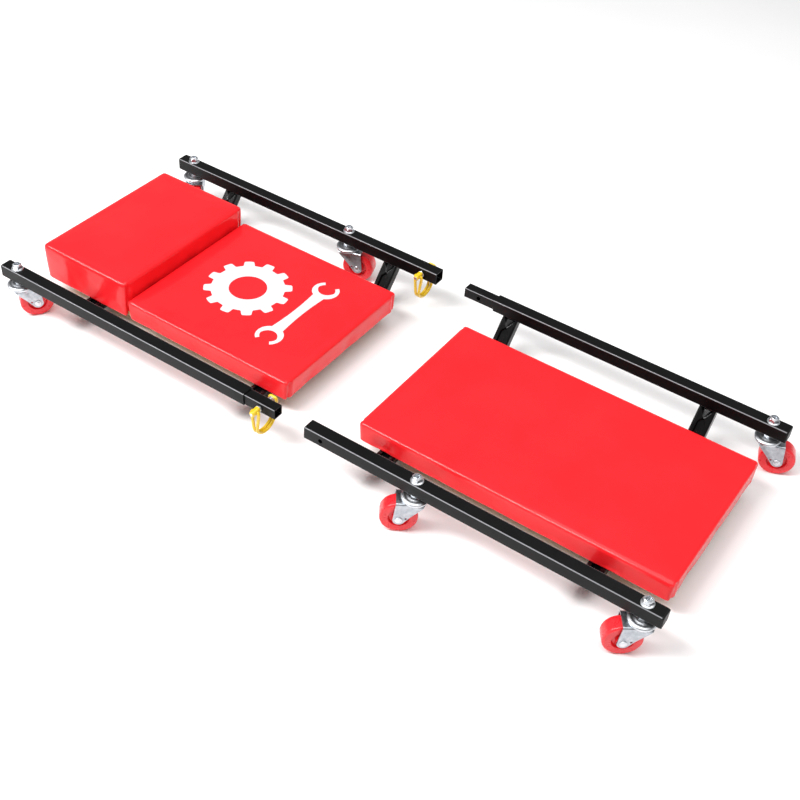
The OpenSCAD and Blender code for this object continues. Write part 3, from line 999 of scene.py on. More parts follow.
@dataclass
class Crossbar:
    """Pressed channel crossbar, in millimetres.

    The outside is a function of the station along the bar and of the place across it.
    Across, the top has two ribs with a groove between them and turns down into the
    flanges. Towards each rail the groove runs out in a V, and a triangular facet is
    pressed in above it.
    """

    datum: Datum
    half: Half
    part: str
    depth: float = 13.0
    slope: float = 50.0
    wall: float = 1.6
    corner: float = 2.6
    groove: float = 11.0
    groove_depth: float = 3.6
    groove_edge: float = 1.8
    run_out: float = 7.0
    facet: float = 14.0
    facet_width: float = 16.0
    facet_depth: float = 4.5

    def across(self, width: float) -> np.ndarray:
        """Section of the outside, from one flange lip over the top to the other.

        Args:
            width: Width of the bar.

        Returns:
            Array (n, 2) of the place across and the depth below the top.
        """
        half = width / 2
        side = np.linspace(self.depth, self.corner, 8)
        turn = np.linspace(0, math.pi / 2, 7)[1:-1]
        top = np.linspace(-half + self.corner, half - self.corner, 61)
        left = np.stack([np.full_like(side, -half), side], -1)
        round_left = np.stack(
            [-half + self.corner * (1 - np.cos(turn)), self.corner * (1 - np.sin(turn))], -1
        )
        upper = np.stack([top, np.zeros_like(top)], -1)
        mirror = [-1, 1]
        return np.vstack([left, round_left, upper, round_left[::-1] * mirror, left[::-1] * mirror])

    def pressed(self, x: np.ndarray, deep: np.ndarray, distance: np.ndarray) -> np.ndarray:
        """Presses groove and facet into the top.

        The press is a smooth step across, as wide as the facet beside the rail and as
        the groove further in, times the depth of whichever it is.

        Args:
            x: Array (m) of places across.
            deep: Array (m) of the section's depths.
            distance: Array (n) of distances from the rail along the bar.

        Returns:
            Array (n, m) of depths of the outside.
        """
        rest = np.clip(1 - distance / self.facet, 0, 1)
        ramp = np.clip((distance - self.facet) / self.run_out, 0, 1)
        wide = rest * self.facet_width / 2 + ramp * self.groove / 2
        press = smooth_step((wide[:, None] - np.abs(x)) / self.groove_edge + 0.5)
        press *= (rest * self.facet_depth + np.clip(2 * ramp, 0, 1) * self.groove_depth)[:, None]
        return deep + np.where(deep < 1e-6, press, 0)

    def inside(
        self, x: np.ndarray, deep: np.ndarray, outer_deep: np.ndarray
    ) -> tuple[np.ndarray, np.ndarray]:
        """Follows the outside one wall deeper, square to the pressed shape.

        Args:
            x: Array (m) of places across.
            deep: Array (m) of the section's depths.
            outer_deep: Array (n, m) of depths of the outside.

        Returns:
            Places across and depths of the inside, both (n, m).
        """
        fall = np.gradient(outer_deep, axis=1)
        lean = fall / (np.sqrt(fall**2 + np.gradient(x) ** 2) + 1e-9)
        inner_x = x - np.where(deep < 1e-6, 0, self.wall * lean)
        inner_x = np.clip(inner_x, x.min() + self.wall, x.max() - self.wall)
        return inner_x, outer_deep + np.where(deep < self.corner, self.wall, 0)

    def build(self) -> None:
        """Makes the bar between the undersides of its two rails."""
        node = f"{self.half.value}_{self.part}"
        low, high = self.datum.local(node, self.half)
        rail_low, rail_high = self.datum.local(f"{self.half.value}_socket_rail", self.half)
        rail_y = max(abs(rail_low[1]), abs(rail_high[1])) - (rail_high[2] - rail_low[2])
        rail_z, top_z = rail_low[2], low[2] + self.depth
        slope = math.radians(self.slope)
        bend_y = rail_y - (rail_z - top_z) / math.tan(slope)
        line = BarLine((rail_y, rail_z), (bend_y, top_z), slope)
        leg = (rail_z - top_z) / math.sin(slope)
        place = np.concatenate([np.linspace(0, 1, 34), 1 + np.linspace(0, 1, 24)[1:]])
        distance = np.where(place <= 1, place * leg, leg + (place - 1) * bend_y)
        x, deep = self.across(high[0] - low[0]).T
        outer_deep = self.pressed(x, deep, distance)
        faces = []
        for face_x, face_deep in ((x, outer_deep), self.inside(x, deep, outer_deep)):
            y, z = line.at(place, face_deep)
            points = np.stack([np.broadcast_to(face_x, y.shape), y, z], -1)
            faces.append(np.concatenate([points, points[-2::-1] * [1, -1, 1]]))
        around = np.concatenate([faces[0], faces[1][:, ::-1]], 1)
        whole = Surface.grid(around, wrap_v=True)
        for end in (around[0], around[-1]):
            outside, inside = np.split(end, 2)
            whole = whole + Surface.grid(np.stack([outside, inside[::-1]]))
        whole = self.datum.lay(whole.moved(shift=((low[0] + high[0]) / 2, 0, 0)), self.half)
        finish_piece(node + "_channel", whole, BAR_COAT, self.half.body, [node], 30)


# ---------------------------------------------------------------- casters
@dataclass
class Caster:
    """One swivel caster on its own axes: stem along z, wheel behind it along x.

    Args:
        letter: Letter of the caster in its names.
        angle: Turn about the stem at rest, in degrees.
        centre: Place of the stem on the floor, in metres.
    """

    letter: str
    angle: float
    centre: np.ndarray
    trail: float = 20.0
    wheel_radius: float = 25.4
    width: float = 22.0
    hub: float = 24.0
    hub_gap: float = 0.5
    sheet: float = 2.0
    boss: float = 8.0
    bend: float = 3.0
    fork_front: float = -12.0
    fork_rear: float = 25.0
    waist_front: float = 13.1
    waist_rear: float = 28.0
    flare: float = 2.8
    plate_z: float = 52.3
    race_radius: float = 19.0
    race_top: float = 59.8
    rail_z: float = 64.8
    rail_top: float = 84.8
    nut_bore: float = 3.7
    nut_flats: float = 6.5

    @classmethod
    def from_frame(cls, letter: str) -> "Caster":
        """Reads a caster's place from its stem and its turn from its axle.

        Args:
            letter: Letter of the caster.

        Returns:
            The caster.
        """
        stem_low, stem_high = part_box(f"caster_{letter}_stem")
        axle_low, axle_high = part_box(f"caster_{letter}_axle")
        stem = (stem_low + stem_high) / 2
        away = (axle_low + axle_high) / 2 - stem
        angle = math.degrees(math.atan2(away.y, away.x))
        return cls(letter, angle, np.array([stem.x, stem.y, 0.0]))

    @property
    def leg_face(self) -> float:
        """Distance of the legs' outer faces from the middle."""
        return self.hub / 2 + self.hub_gap + self.sheet

    def on_wheel_axis(self, surface: Surface) -> Surface:
        """A surface about z, laid on the axis of the wheel."""
        return along_y(surface).moved(shift=(self.trail, 0, self.wheel_radius))

    def put(self, part: str, surface: Surface, finish: Finish, body: str,
            node: str | None = None, angle: float = 35.0) -> bpy.types.Object:
        """Turns a surface to the caster's rest angle and makes it a piece.

        Args:
            part: Name of the piece after the caster's name.
            surface: Its surface on the caster's axes.
            finish: Its finish.
            body: The body that it rides on.
            node: The caster's CAD node that it replaces, after the caster's name.
            angle: Edge angle that stays sharp.

        Returns:
            The piece.
        """
        name = f"caster_{self.letter}"
        nodes = [f"{name}_{node}"] if node else []
        placed = surface.moved(self.angle).at(self.centre)
        return finish_piece(f"{name}_{part}", placed, finish, body, nodes, angle)

    def stem(self) -> Surface:
        """Threaded stem, its head below the fork and the domed upper race in one.

        Returns:
            Two turned profiles: the rod, and the race's cup with its rolled rim.
        """
        top = self.rail_top + 5.4
        r, z = self.race_radius, self.race_top
        rod = turned([
            (50.2, 0), (50.2, 6.6), (50.6, 7.4), (51.6, 7.5), (52.0, 7.2), (52.0, 4),
            (top - 0.9, 4), (top, 3.1), (top, 2.5), (top - 0.4, 2.2), (top - 4, 2.1), (top - 4, 0),
        ])
        cup = turned([
            (z, 3.6), (z, 9.6), (z - 0.15, 10.6), (z - 0.9, 12.2), (z - 1.0, 13.6), (z - 0.7, 14.6),
            (z - 0.75, 15.8), (z - 1.2, 17.2), (z - 2.0, r - 0.6), (z - 2.7, r - 0.05),
            (z - 3.15, r), (z - 3.2, r - 1.2), (z - 2.4, r - 1.5), (z - 1.6, r - 3), (z - 1.4, 3.6),
            (z, 3.6),
        ], steps=64)
        return rod + cup

    def sheet_course(self, heights: np.ndarray, radius: float) -> tuple[np.ndarray, np.ndarray]:
        """Course of one face of the fork's sheet, from the foot of a leg to the middle.

        It climbs the leg, turns a quarter circle and runs level over the plate.

        Args:
            heights: Heights up to the start of the bend.
            radius: Radius of the bend on that face.

        Returns:
            Distances from the middle, and heights.
        """
        y, z = self.leg_face - self.bend, self.plate_z + self.sheet - self.bend
        turn = np.linspace(0, math.pi / 2, 6)[1:]
        level = np.linspace(y, 0, 5)[1:]
        out = [np.full_like(heights, y + radius), y + radius * np.cos(turn), level]
        up = [heights, z + radius * np.sin(turn), np.full_like(level, z + radius)]
        return np.concatenate(out), np.concatenate(up)

    def fork(self) -> Surface:
        """Bent sheet fork.

        One parameter runs across the sheet round its outside and inside faces, the
        other down the near leg, over the plate and down the far leg. A leg is a half
        circle round the axle and widens above it. Its front half flares out towards
        the race above a soft crease.

        Returns:
            The closed surface.
        """
        axle_z, top = self.wheel_radius, self.plate_z + self.sheet
        foot = (axle_z - self.boss) + (1 - np.cos(np.linspace(0, math.pi / 2, 12))) * self.boss
        heights = np.concatenate([foot, np.linspace(axle_z, top - self.bend, 14)[1:]])
        outside = self.sheet_course(heights, self.bend)
        inside = self.sheet_course(heights, self.bend - self.sheet)

        # front and rear edge of the leg at each height of the outside
        y_out, level = outside
        waist_z = axle_z - self.boss / 2
        circle = np.sqrt(np.maximum(self.boss**2 - (level - axle_z) ** 2, 0))
        share = np.clip((level - waist_z) / (top - waist_z), 0, 1)
        widened = self.waist_front + (self.fork_front - self.waist_front) * share
        front = np.where(level > waist_z, widened, self.trail - circle)
        share = np.clip((level - axle_z) / (top - axle_z), 0, 1)
        widened = self.waist_rear + (self.fork_rear - self.waist_rear) * share
        rear = np.where(level > axle_z, widened, self.trail + circle)

        across = np.linspace(0, 1, 21)
        x = front[:, None] + (rear - front)[:, None] * across
        above = smooth_step((level - axle_z - 2) / 24) * np.clip(y_out / self.leg_face, 0, 1)
        flare = self.flare * smooth_step((0.5 - across) / 0.3) * above[:, None]
        faces = []
        for y, z in (outside, inside):
            grid = np.stack([x, y[:, None] + flare, np.broadcast_to(z[:, None], x.shape)], -1)
            faces.append(np.concatenate([grid, grid[-2::-1] * [1, -1, 1]]))
        return Surface.grid(np.concatenate([faces[0], faces[1][:, ::-1]], 1), wrap_v=True)

    def fork_piece(self) -> None:
        """Makes the fork with the small hole ahead of each axle boss."""
        swivel = f"caster_{self.letter}_swivel"
        fork = self.put("fork_sheet", self.fork(), ZINC_SHEET, swivel, "fork", 40)
        fork.modifiers.clear()
        reach, radius = 30, 1.5
        hole = turned([(-reach, 0), (-reach, radius), (reach, radius), (reach, 0)], steps=20)
        hole = self.on_wheel_axis(hole).moved(shift=(-9, 0, 3)).moved(self.angle)
        drill(fork, hole.at(self.centre))
        shade(fork, 40)

    def race(self) -> Surface:
        """Lower race pressed into the fork top: a dished ring with a rolled lip.

        Returns:
            The closed surface.
        """
        r, z, bore = self.race_radius - 0.5, self.plate_z, 4.4
        return turned([
            (z - 0.3, bore), (z - 0.3, r - 3.2), (z + 0.3, r - 1.0), (z + 1.4, r - 0.1),
            (z + 2.6, r), (z + 3.5, r - 0.2), (z + 3.7, r - 0.8), (z + 3.5, r - 1.3),
            (z + 2.2, r - 1.8), (z + 2.1, bore), (z - 0.3, bore),
        ], steps=64)

    def wheel(self) -> Surface:
        """Moulded wheel: rounded tread with a parting line, rim face, web and hub.

        The stations of one side run from the hub's bore to the middle of the tread, and
        the other side mirrors them.

        Returns:
            The closed surface.
        """
        r, w, h = self.wheel_radius, self.width / 2, self.hub / 2
        half = [
            (h, 3.15), (h, 6.9), (h - 0.5, 7.7), (h - 1.2, 8.0), (6.9, 8.4), (6.2, 9.0), (6.0, 9.8),
            (6.0, 12.0), (6.3, 13.0), (7.2, 13.6), (w - 1.1, 14.0), (w - 0.3, 14.4), (w, 15.2),
            (w, 22.2), (w - 0.35, 23.6), (w - 1.2, 24.7), (w - 2.4, 25.2), (w - 4, 25.35), (0.9, r),
            (0.25, r - 0.02), (0.12, r),
        ]
        profile = half + [(-z, radius) for z, radius in half[::-1]] + half[:1]
        return self.on_wheel_axis(turned(profile[::-1], steps=96))

    def axle(self) -> Surface:
        """Rivet axle with a ringed, dimpled head outside each leg.

        Returns:
            The closed surface.
        """
        out = self.leg_face
        head = [
            (out, 5.0), (out + 0.7, 5.0), (out + 1.15, 4.6), (out + 1.25, 4.0), (out + 1.1, 3.4),
            (out + 1.15, 2.9), (out + 1.65, 2.3), (out + 1.8, 1.2), (out + 1.8, 0),
        ]
        profile = [(-z, r) for z, r in head[::-1]] + [(-out, 3), (out, 3)] + head
        return self.on_wheel_axis(turned(profile, steps=32))

    def flange_nut(self) -> Surface:
        """Hexagon nut on the rail, with its flange below and a collar above.

        Returns:
            The closed surface.
        """
        z, bore, flats = self.rail_top, self.nut_bore, self.nut_flats
        return turned([
            (z, bore), (z, 8.7), (z + 0.5, 9.0), (z + 1.2, 8.6), (z + 1.9, 6.9),
            (z + 2.0, 9, flats), (z + 6.2, 9, flats), (z + 7.0, 6.5, flats), (z + 7.05, 5.6),
            (z + 8.1, 5.3), (z + 8.6, 4.7), (z + 8.6, 4.2), (z + 7.9, 4.0), (z, bore),
        ], sides=6, steps=72)

    def spacer_nut(self) -> Surface:
        """Chamfered hexagon nut between the upper race and the rail.

        Returns:
            The closed surface.
        """
        low, high, bore, flats = self.race_top, self.rail_z, self.nut_bore, self.nut_flats
        return turned([
            (low, bore), (low, 6.4, flats), (low + 0.6, 9, flats), (high - 0.6, 9, flats),
            (high, 6.4, flats), (high, bore), (low, bore),
        ], sides=6, steps=72)

    def build(self) -> None:
        """Makes the pieces of the caster."""
        half = "head_half" if self.letter in "abc" else "hip_half"
        swivel, roller = (f"caster_{self.letter}_{part}" for part in ("swivel", "roller"))
        self.put("stem_race", self.stem(), ZINC, half, "stem", 50)
        self.fork_piece()
        self.put("race_ring", self.race(), ZINC, swivel, angle=50)
        self.put("rivet", self.axle(), ZINC, swivel, "axle", 50)
        self.put("tyre", self.wheel(), WHEEL_RED, roller, "wheel")
        dress_node(f"caster_{self.letter}_balls", ZINC, 0)
        self.put("flange_nut", self.flange_nut(), ZINC, half, angle=30)
        self.put("spacer_nut", self.spacer_nut(), ZINC, half, angle=30)


# ---------------------------------------------------------------- lock pins
@dataclass
class LockPin:
    """Lock pin and wire bail. Its origin is on the rail face that the pin enters."""

    side: str
    rail: float = 20.0
    overhang: float = 8.0
    radius: float = 3.2
    seat: float = 0.3
    collar: float = 1.6
    head: float = 14.2
    pivot: float = 7.6
    hook_gap: float = 2.4
    wire: float = 4.6
    leg_x: float = 5.8
    low_x: float = 2.5
    leg: float = 30.0
    corner: float = 3.2

    def entry(self) -> np.ndarray:
        """Reads the pin's origin from the box of its CAD node.

        Returns:
            The place in metres.
        """
        low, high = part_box(f"{self.side}_pin")
        y = low.y + (self.seat + self.collar + self.head) * MM
        return np.array([(low.x + high.x) / 2, y, (low.z + high.z) / 2])

    def pin(self) -> Surface:
        """Turned pin with a chamfered tip, a collar and the stub of its head.

        Returns:
            Two turned profiles, laid along y.
        """
        out = self.seat + self.collar
        tip, end = self.rail + self.overhang, out + self.head
        body = turned([
            (-out, 0), (-out, 4.6), (-out + 0.4, 5), (-self.seat - 0.3, 5), (-self.seat, 4.7),
            (-self.seat, self.radius), (tip - 1.4, self.radius), (tip - 0.3, 2.1), (tip, 1.4),
            (tip, 0),
        ])
        stub = turned([
            (-end - 0.7, 0), (-end - 0.7, 1.9), (-end - 0.2, 2.3), (-end + 2, 2.3), (-end + 2, 0),
        ], steps=24)
        return along_y(body) + along_y(stub)

    def grip(self) -> Surface:
        """Dipped, flattened head whose two flats leave room for the bail.

        Returns:
            The closed surface, laid along y.
        """
        out = self.seat + self.collar
        end = out + self.head
        return along_y(turned([
            (-end, 0), (-end, 2.6, 3.4), (-end + 0.4, 3.6, 3.6), (-end + 1.4, 4.6, 3.8),
            (-out - 1.2, 4.7, 3.8), (-out - 0.3, 4.9, 3.6), (-out, 4.4, 3.4), (-out, 0),
        ], sides=2))

    def bail(self) -> Surface:
        """Bent wire bail: two loops side by side, joined by a cross wire at each end.

        Quarter circles join the cross wires to the legs, and a half ellipse joins the
        legs below, where both loops draw together. Within a corner the side vector
        turns with the wire.

        Returns:
            The closed surface.
        """
        r, x = self.corner, self.leg_x
        reach = self.pivot + self.rail + self.overhang + self.hook_gap
        quarter = np.linspace(0, math.pi / 2, 8)
        s, c, zero = np.sin(quarter), np.cos(quarter), np.zeros_like(quarter)
        corner = np.stack([x - r + r * s, zero, -r + r * c], -1)
        corner_side = np.stack([s, zero, c], -1)
        down = np.linspace(0, 1, 8)[1:-1]
        drop = np.stack([np.full_like(down, x), 0 * down, -r + (r - self.leg) * down], -1)
        sweep = np.linspace(0, math.pi, 29)
        half = reach / 2
        low = -self.leg - 0.88 * half * np.sin(sweep)
        bow = np.stack([np.full_like(sweep, x), half - half * np.cos(sweep), low], -1)
        climb = np.concatenate([corner, drop])[::-1] * [1, -1, 1] + [0, reach, 0]
        one = np.concatenate([corner, drop, bow, climb])
        flat = np.tile([1.0, 0.0, 0.0], (2 * len(drop) + len(bow), 1))
        side = np.concatenate([corner_side, flat, corner_side[::-1]])
        one[:, 0] -= (x - self.low_x) * smooth_step(-one[:, 2] / (self.leg + 0.6 * half))
        path, sides = (np.concatenate([a, a[::-1] * [-1, 1, 1]]) for a in (one, side))
        return rod_loop(path, sides, self.wire / 2).moved(shift=(0, -self.pivot, 0))

    def build(self) -> None:
        """Makes the pin, its bail and the dipped grip."""
        entry = self.entry()
        for part, surface, finish, slot in (
            ("pin", self.pin(), ZINC, "zinc_plate"), ("bail", self.bail(), YELLOW, "yellow_coat")
        ):
            finish_piece(
                f"{self.side}_{part}_steel", surface.at(entry), finish,
                f"{self.side}_lock_{part}", [f"{self.side}_{part}"], 40,
            )
        finish_piece(
            f"{self.side}_pin_grip", self.grip().at(entry), YELLOW, f"{self.side}_lock_pin",
            angle=50,
        )


# ---------------------------------------------------------------- pads
@dataclass
class Pad:
    """Foam pad in a stretched vinyl cover, in millimetres.

    Args:
        datum: Datum of the halves.
        half: The half that carries the pad.
        node: CAD node of the pad.
        step: Size of the cover's faces.
        edge: Radius of the upper and the upright edges.
        lower_edge: Radius of the lower edge.
        recess: Rise of the underside over the board.
        shrink: How much smaller than the CAD pad the cover starts.
        pull: How far the sides lean in at the bottom.
        lean: Power of the lean, over one for a lean that starts gently.
        pressure: Pressure under the cloth.
        held: Height up to which the cover is stapled to the board.
        cap: Furthest that the cloth may move.
        edge_hold: Share of that at the edges.
        hold_band: Width over which the share grows to one.
        pinch: Distance between staple pinches.
        pinch_depth: Depth of a pinch.
    """

    datum: Datum
    half: Half
    node: str
    step: float = 5.0
    edge: float = 5.5
    lower_edge: float = 1.0
    recess: float = 1.5
    shrink: float = 0.5
    pull: float = 1.6
    lean: float = 1.6
    pressure: float = 4.0
    held: float = 2.5
    cap: float = 2.2
    edge_hold: float = 0.2
    hold_band: float = 70.0
    pinch: float = 88.0
    pinch_depth: float = 2.4

    def block(self) -> Surface:
        """Closed block whose sides lean in towards the board.

        A point of the plain box is pushed onto the nearest place of an inner box grown
        by the edge radius, then drawn in towards the bottom.

        Returns:
            The surface in half coordinates.
        """
        low, high = self.datum.local(self.node, self.half)
        centre, size = (low + high) / 2, high - low - 2 * self.shrink
        size[2] = high[2] - low[2] - self.shrink
        centre[2] = low[2] + size[2] / 2
        whole = self.plain_box(size)
        inner = size / 2 - self.edge
        lowest = np.array([*-inner[:2], self.lower_edge - size[2] / 2])
        held = np.clip(whole.points, lowest, inner)
        away = whole.points - held
        length = np.linalg.norm(away, axis=1, keepdims=True)
        points = held + away / np.maximum(length, 1e-9) * np.minimum(length, self.edge)
        # below the lower bound only the corners in plan are rounded
        flat = np.maximum(np.linalg.norm(away[:, :2], axis=1, keepdims=True), 1e-9)
        bottom = held + away * np.minimum(1, self.edge / flat) * [1, 1, 0]
        bottom[:, 2] = whole.points[:, 2]
        points = np.where(away[:, 2:] < 0, bottom, points)
        lower = np.clip(0.5 - points[:, 2] / size[2], 0, 1) ** self.lean
        points[:, :2] *= 1 - lower[:, None] * self.pull / (size[:2] / 2)
        points += centre
        # the underside rises over the board, which leaves a turned-under border
        board = self.datum.local(f"{self.half.value}_board", self.half)
        inside = np.minimum(points - board[0], board[1] - points)[:, :2].min(1)
        floor = points[:, 2] < low[2] + 0.1
        points[:, 2] += np.where(floor, self.recess * smooth_step(inside / self.recess), 0)
        return Surface(points, whole.faces)

    def plain_box(self, size: np.ndarray) -> Surface:
        """Box about the origin, its six sides divided into faces.

        Args:
            size: Its three sizes.

        Returns:
            The surface, whose sides meet at doubled points.
        """
        count = np.maximum(np.round(size / self.step).astype(int), 6)
        parts = []
        for axis in range(3):
            u, v = [a for a in range(3) if a != axis]
            across, up = np.meshgrid(
                self.spaced(size[u], count[u]), self.spaced(size[v], count[v]), indexing="ij"
            )
            for sign in (-1, 1):
                points = np.zeros((*across.shape, 3))
                points[..., u], points[..., v] = across, up
                points[..., axis] = sign * size[axis] / 2
                parts.append(Surface.grid(points))
        return sum(parts[1:], parts[0])

    def spaced(self, size: float, count: int) -> np.ndarray:
        """Places from one side to the other, closer together near both."""
        even = np.linspace(-1, 1, count + 5)
        return size / 2 * (even + 0.045 * np.sin(math.pi * even) * min(1, 120 / size))

    def inflate(self, piece: bpy.types.Object) -> None:
        """Blows the cover up under cloth, with its underside held to the board.

        Args:
            piece: The cover, in the frame.
        """
        before = read_points(piece.data)
        stapled = before[:, 2] < before[:, 2].min() + self.held * MM
        group = piece.vertex_groups.new(name="held")
        group.add(np.flatnonzero(stapled).tolist(), 1.0, "REPLACE")
        cloth = piece.modifiers.new("cover", "CLOTH")
        cloth.settings.quality = 6
        cloth.settings.mass = 0.25
        cloth.settings.tension_stiffness = 25
        cloth.settings.compression_stiffness = 25
        cloth.settings.shear_stiffness = 12
        cloth.settings.bending_stiffness = 1.5
        cloth.settings.use_pressure = True
        cloth.settings.uniform_pressure_force = self.pressure
        cloth.settings.effector_weights.gravity = 0
        cloth.settings.vertex_group_mass = "held"
        first, last = 1, 20
        cloth.point_cache.frame_start, cloth.point_cache.frame_end = first, last
        scene = bpy.context.scene
        for number in range(first, last + 1):
            scene.frame_set(number)
        settle(piece)
        scene.frame_set(first)
        move = read_points(piece.data) - before
        far = np.linalg.norm(move, axis=1, keepdims=True)
        move *= np.minimum(1, self.cap * MM / np.maximum(far, 1e-9))
        middle, reach = (before.max(0) + before.min(0)) / 2, (before.max(0) - before.min(0)) / 2
        inset = (reach[:2] - np.abs(before - middle)[:, :2]).min(1) / MM
        share = self.edge_hold + (1 - self.edge_hold) * smooth_step(inset / self.hold_band)
        move *= share[:, None]
        piece.data.vertices.foreach_set("co", (before + move).ravel())
        LOG.info("%s: cover moved up to %.1f mm", piece.name, far.max() / MM)

    def pinches(
        self, along: np.ndarray, across: np.ndarray, size: tuple[float, float],
        shift: float, drift: float,
    ) -> np.ndarray:
        """Depth of the staple pinches on the two sides that run one way.

        It is the square of a cosine along the side, made uneven by a slow sine, in a
        band beside the side that ends short of its corners.

        Args:
            along: Places along the side, from its middle.
            across: Places square to it, from the middle of the pad.
            size: Length of the pad along and across.
            shift: Shift of the pinches, as a share of their distance.
            drift: Length of the slow sine over two pi.

        Returns:
            The depths in millimetres.
        """
        wave = np.cos(2 * math.pi * (along + shift * self.pinch) / self.pinch)
        wave += 0.25 * np.sin(along / drift)
        beside = smooth_step((np.abs(across) - size[1] / 2 + 16) / 10)
        short = smooth_step((size[0] / 2 - 12 - np.abs(along)) / 20)
        return np.clip(wave, 0, 2) ** 2 * beside * short * self.pinch_depth

    def tailor(self, piece: bpy.types.Object) -> None:
        """Presses the staple pinches and the corner folds into the cover.

        The pinches fade upwards. A fold is a narrow groove that climbs the short side
        of each corner and leans away from it, with a lip beside it.

        Args:
            piece: The cover after its simulation, in the frame.
        """
        mesh = piece.data
        points = read_points(mesh).astype(float)
        middle = (points.max(0) + points.min(0)) / 2
        length, width, height = (points.max(0) - points.min(0)) / MM
        x, y, z = (points - middle).T / MM
        up = (z + height / 2) / height
        fade = np.clip(1 - up / 0.75, 0, 1) * smooth_step((up + 0.08) / 0.3)
        long_sides = self.pinches(x, y, (length, width), 0.23, 17) * fade
        short_sides = self.pinches(y, x, (width, length), -0.1, 19) * fade
        y = y - np.sign(y) * long_sides
        x = x - np.sign(x) * short_sides
        inset = width / 2 - np.abs(y) - 2 * up
        fold = bell(inset - 7, 2.4) * smooth_step((0.97 - up) / 0.25)
        lip = bell(inset - 13, 3.0) * smooth_step((0.95 - up) / 0.3)
        end = smooth_step((np.abs(x) - length / 2 + 12) / 6)
        x = x - np.sign(x) * end * (3.0 * fold - 0.9 * lip)
        tailored = np.stack([x, y, z], -1) * MM + middle
        mesh.vertices.foreach_set("co", tailored.astype(np.float32).ravel())
        mesh.update()

    def build(self) -> bpy.types.Object:
        """Returns:
            The cover.
        """
        name = f"{self.node}_cover"
        piece = add_object(name, make_mesh(name, self.datum.lay(self.block(), self.half), 1e-5))
        self.inflate(piece)
        fine = piece.modifiers.new("fine", "SUBSURF")
        fine.levels = fine.render_levels = 1
        settle(piece)
        self.tailor(piece)
        piece.modifiers.clear()
        dress(piece, VINYL, self.half.body, [self.node], 60)
        piece.modifiers.clear()
        return piece


# ---------------------------------------------------------------- printed sign
@dataclass
class PrintedSign:
    """Plain pictogram of a gear over a spanner, printed on the head pad.

    Args:
        datum: Datum of the halves.
        pad: The cover that it is printed on.
        centre: Its middle in half coordinates.
        height: Height in millimetres from which it is laid down.
    """

    datum: Datum
    pad: bpy.types.Object
    centre: tuple[float, float]
    height: float
    gear_place: float = 30.0
    gear_radius: float = 56.0
    teeth: int = 12
    tooth: float = 11.0
    bore: float = 29.0
    spanner_place: float = -66.0
    jaw_place: float = 68.0
    jaw_radius: float = 21.0
    jaw_bore: float = 10.5
    jaw_gap: float = 38.0
    waist: float = 7.5
    waist_flare: float = 2.5
    turn: float = 90.0

    def gear(self) -> np.ndarray:
        """Ring whose outer edge rises and falls as a softened square wave.

        Returns:
            Array (u, v, 2) of places.
        """
        angle = np.linspace(0, 2 * math.pi, 721)
        wave = np.tanh(4 * np.sin(self.teeth * angle)) / 2 + 0.5
        outer = self.gear_radius + self.tooth * wave
        share = np.linspace(0, 1, 8)[:, None]
        radius = self.bore * (1 - share) + outer[None, :] * share
        return np.stack([radius * np.cos(angle), radius * np.sin(angle)], -1)

    def spanner(self) -> list[np.ndarray]:
        """Handle and two open jaws.

        The handle's ends follow the jaws' outer circles. A jaw is a ring with a gap,
        whose bore widens towards the gap.

        Returns:
            Three arrays (u, v, 2) of places.
        """
        along, across = np.meshgrid(np.linspace(-1, 1, 60), np.linspace(-1, 1, 8), indexing="ij")
        width = across * (self.waist + self.waist_flare * along**2)
        end = self.jaw_place - np.sqrt(self.jaw_radius**2 - width**2)
        parts = [np.stack([along * end, width], -1)]
        angle = np.linspace(math.radians(self.jaw_gap), math.radians(360 - self.jaw_gap), 80)
        ring, turn = np.meshgrid(np.linspace(0, 1, 6), angle, indexing="ij")
        inner = self.jaw_bore / np.maximum(np.abs(np.cos((turn - math.pi) / 2.2)), 0.72)
        radius = inner * (1 - ring) + self.jaw_radius * ring
        for side in (-1, 1):
            x = side * (self.jaw_place + radius * np.cos(turn))
            parts.append(np.stack([x, radius * np.sin(turn)], -1))
        return parts

    def build(self) -> None:
        """Lays the sign on the pad, a hair above its grain."""
        places = [(self.gear(), self.gear_place)]
        places += [(part, self.spanner_place) for part in self.spanner()]
        angle = math.radians(self.turn)
        c, s = math.cos(angle), math.sin(angle)
        parts = []
        for flat, shift in places:
            moved = (flat + np.array([0, shift])) @ np.array([[c, s], [-s, c]]) + self.centre
            level = np.full((*moved.shape[:2], 1), self.height)
            parts.append(Surface.grid(np.concatenate([moved, level], -1)))
        whole = self.datum.lay(sum(parts[1:], parts[0]))
        piece = add_object("head_pad_sign", make_mesh("head_pad_sign", whole))
        lay = piece.modifiers.new("lay", "SHRINKWRAP")
        lay.wrap_method = "PROJECT"
        lay.use_project_z = True
        lay.use_negative_direction = True
        lay.use_positive_direction = False
        lay.target = self.pad
        lay.offset = 0.15 * MM
        settle(piece)
        dress(piece, PRINT, "head_half", angle=60)
        piece.modifiers.clear()


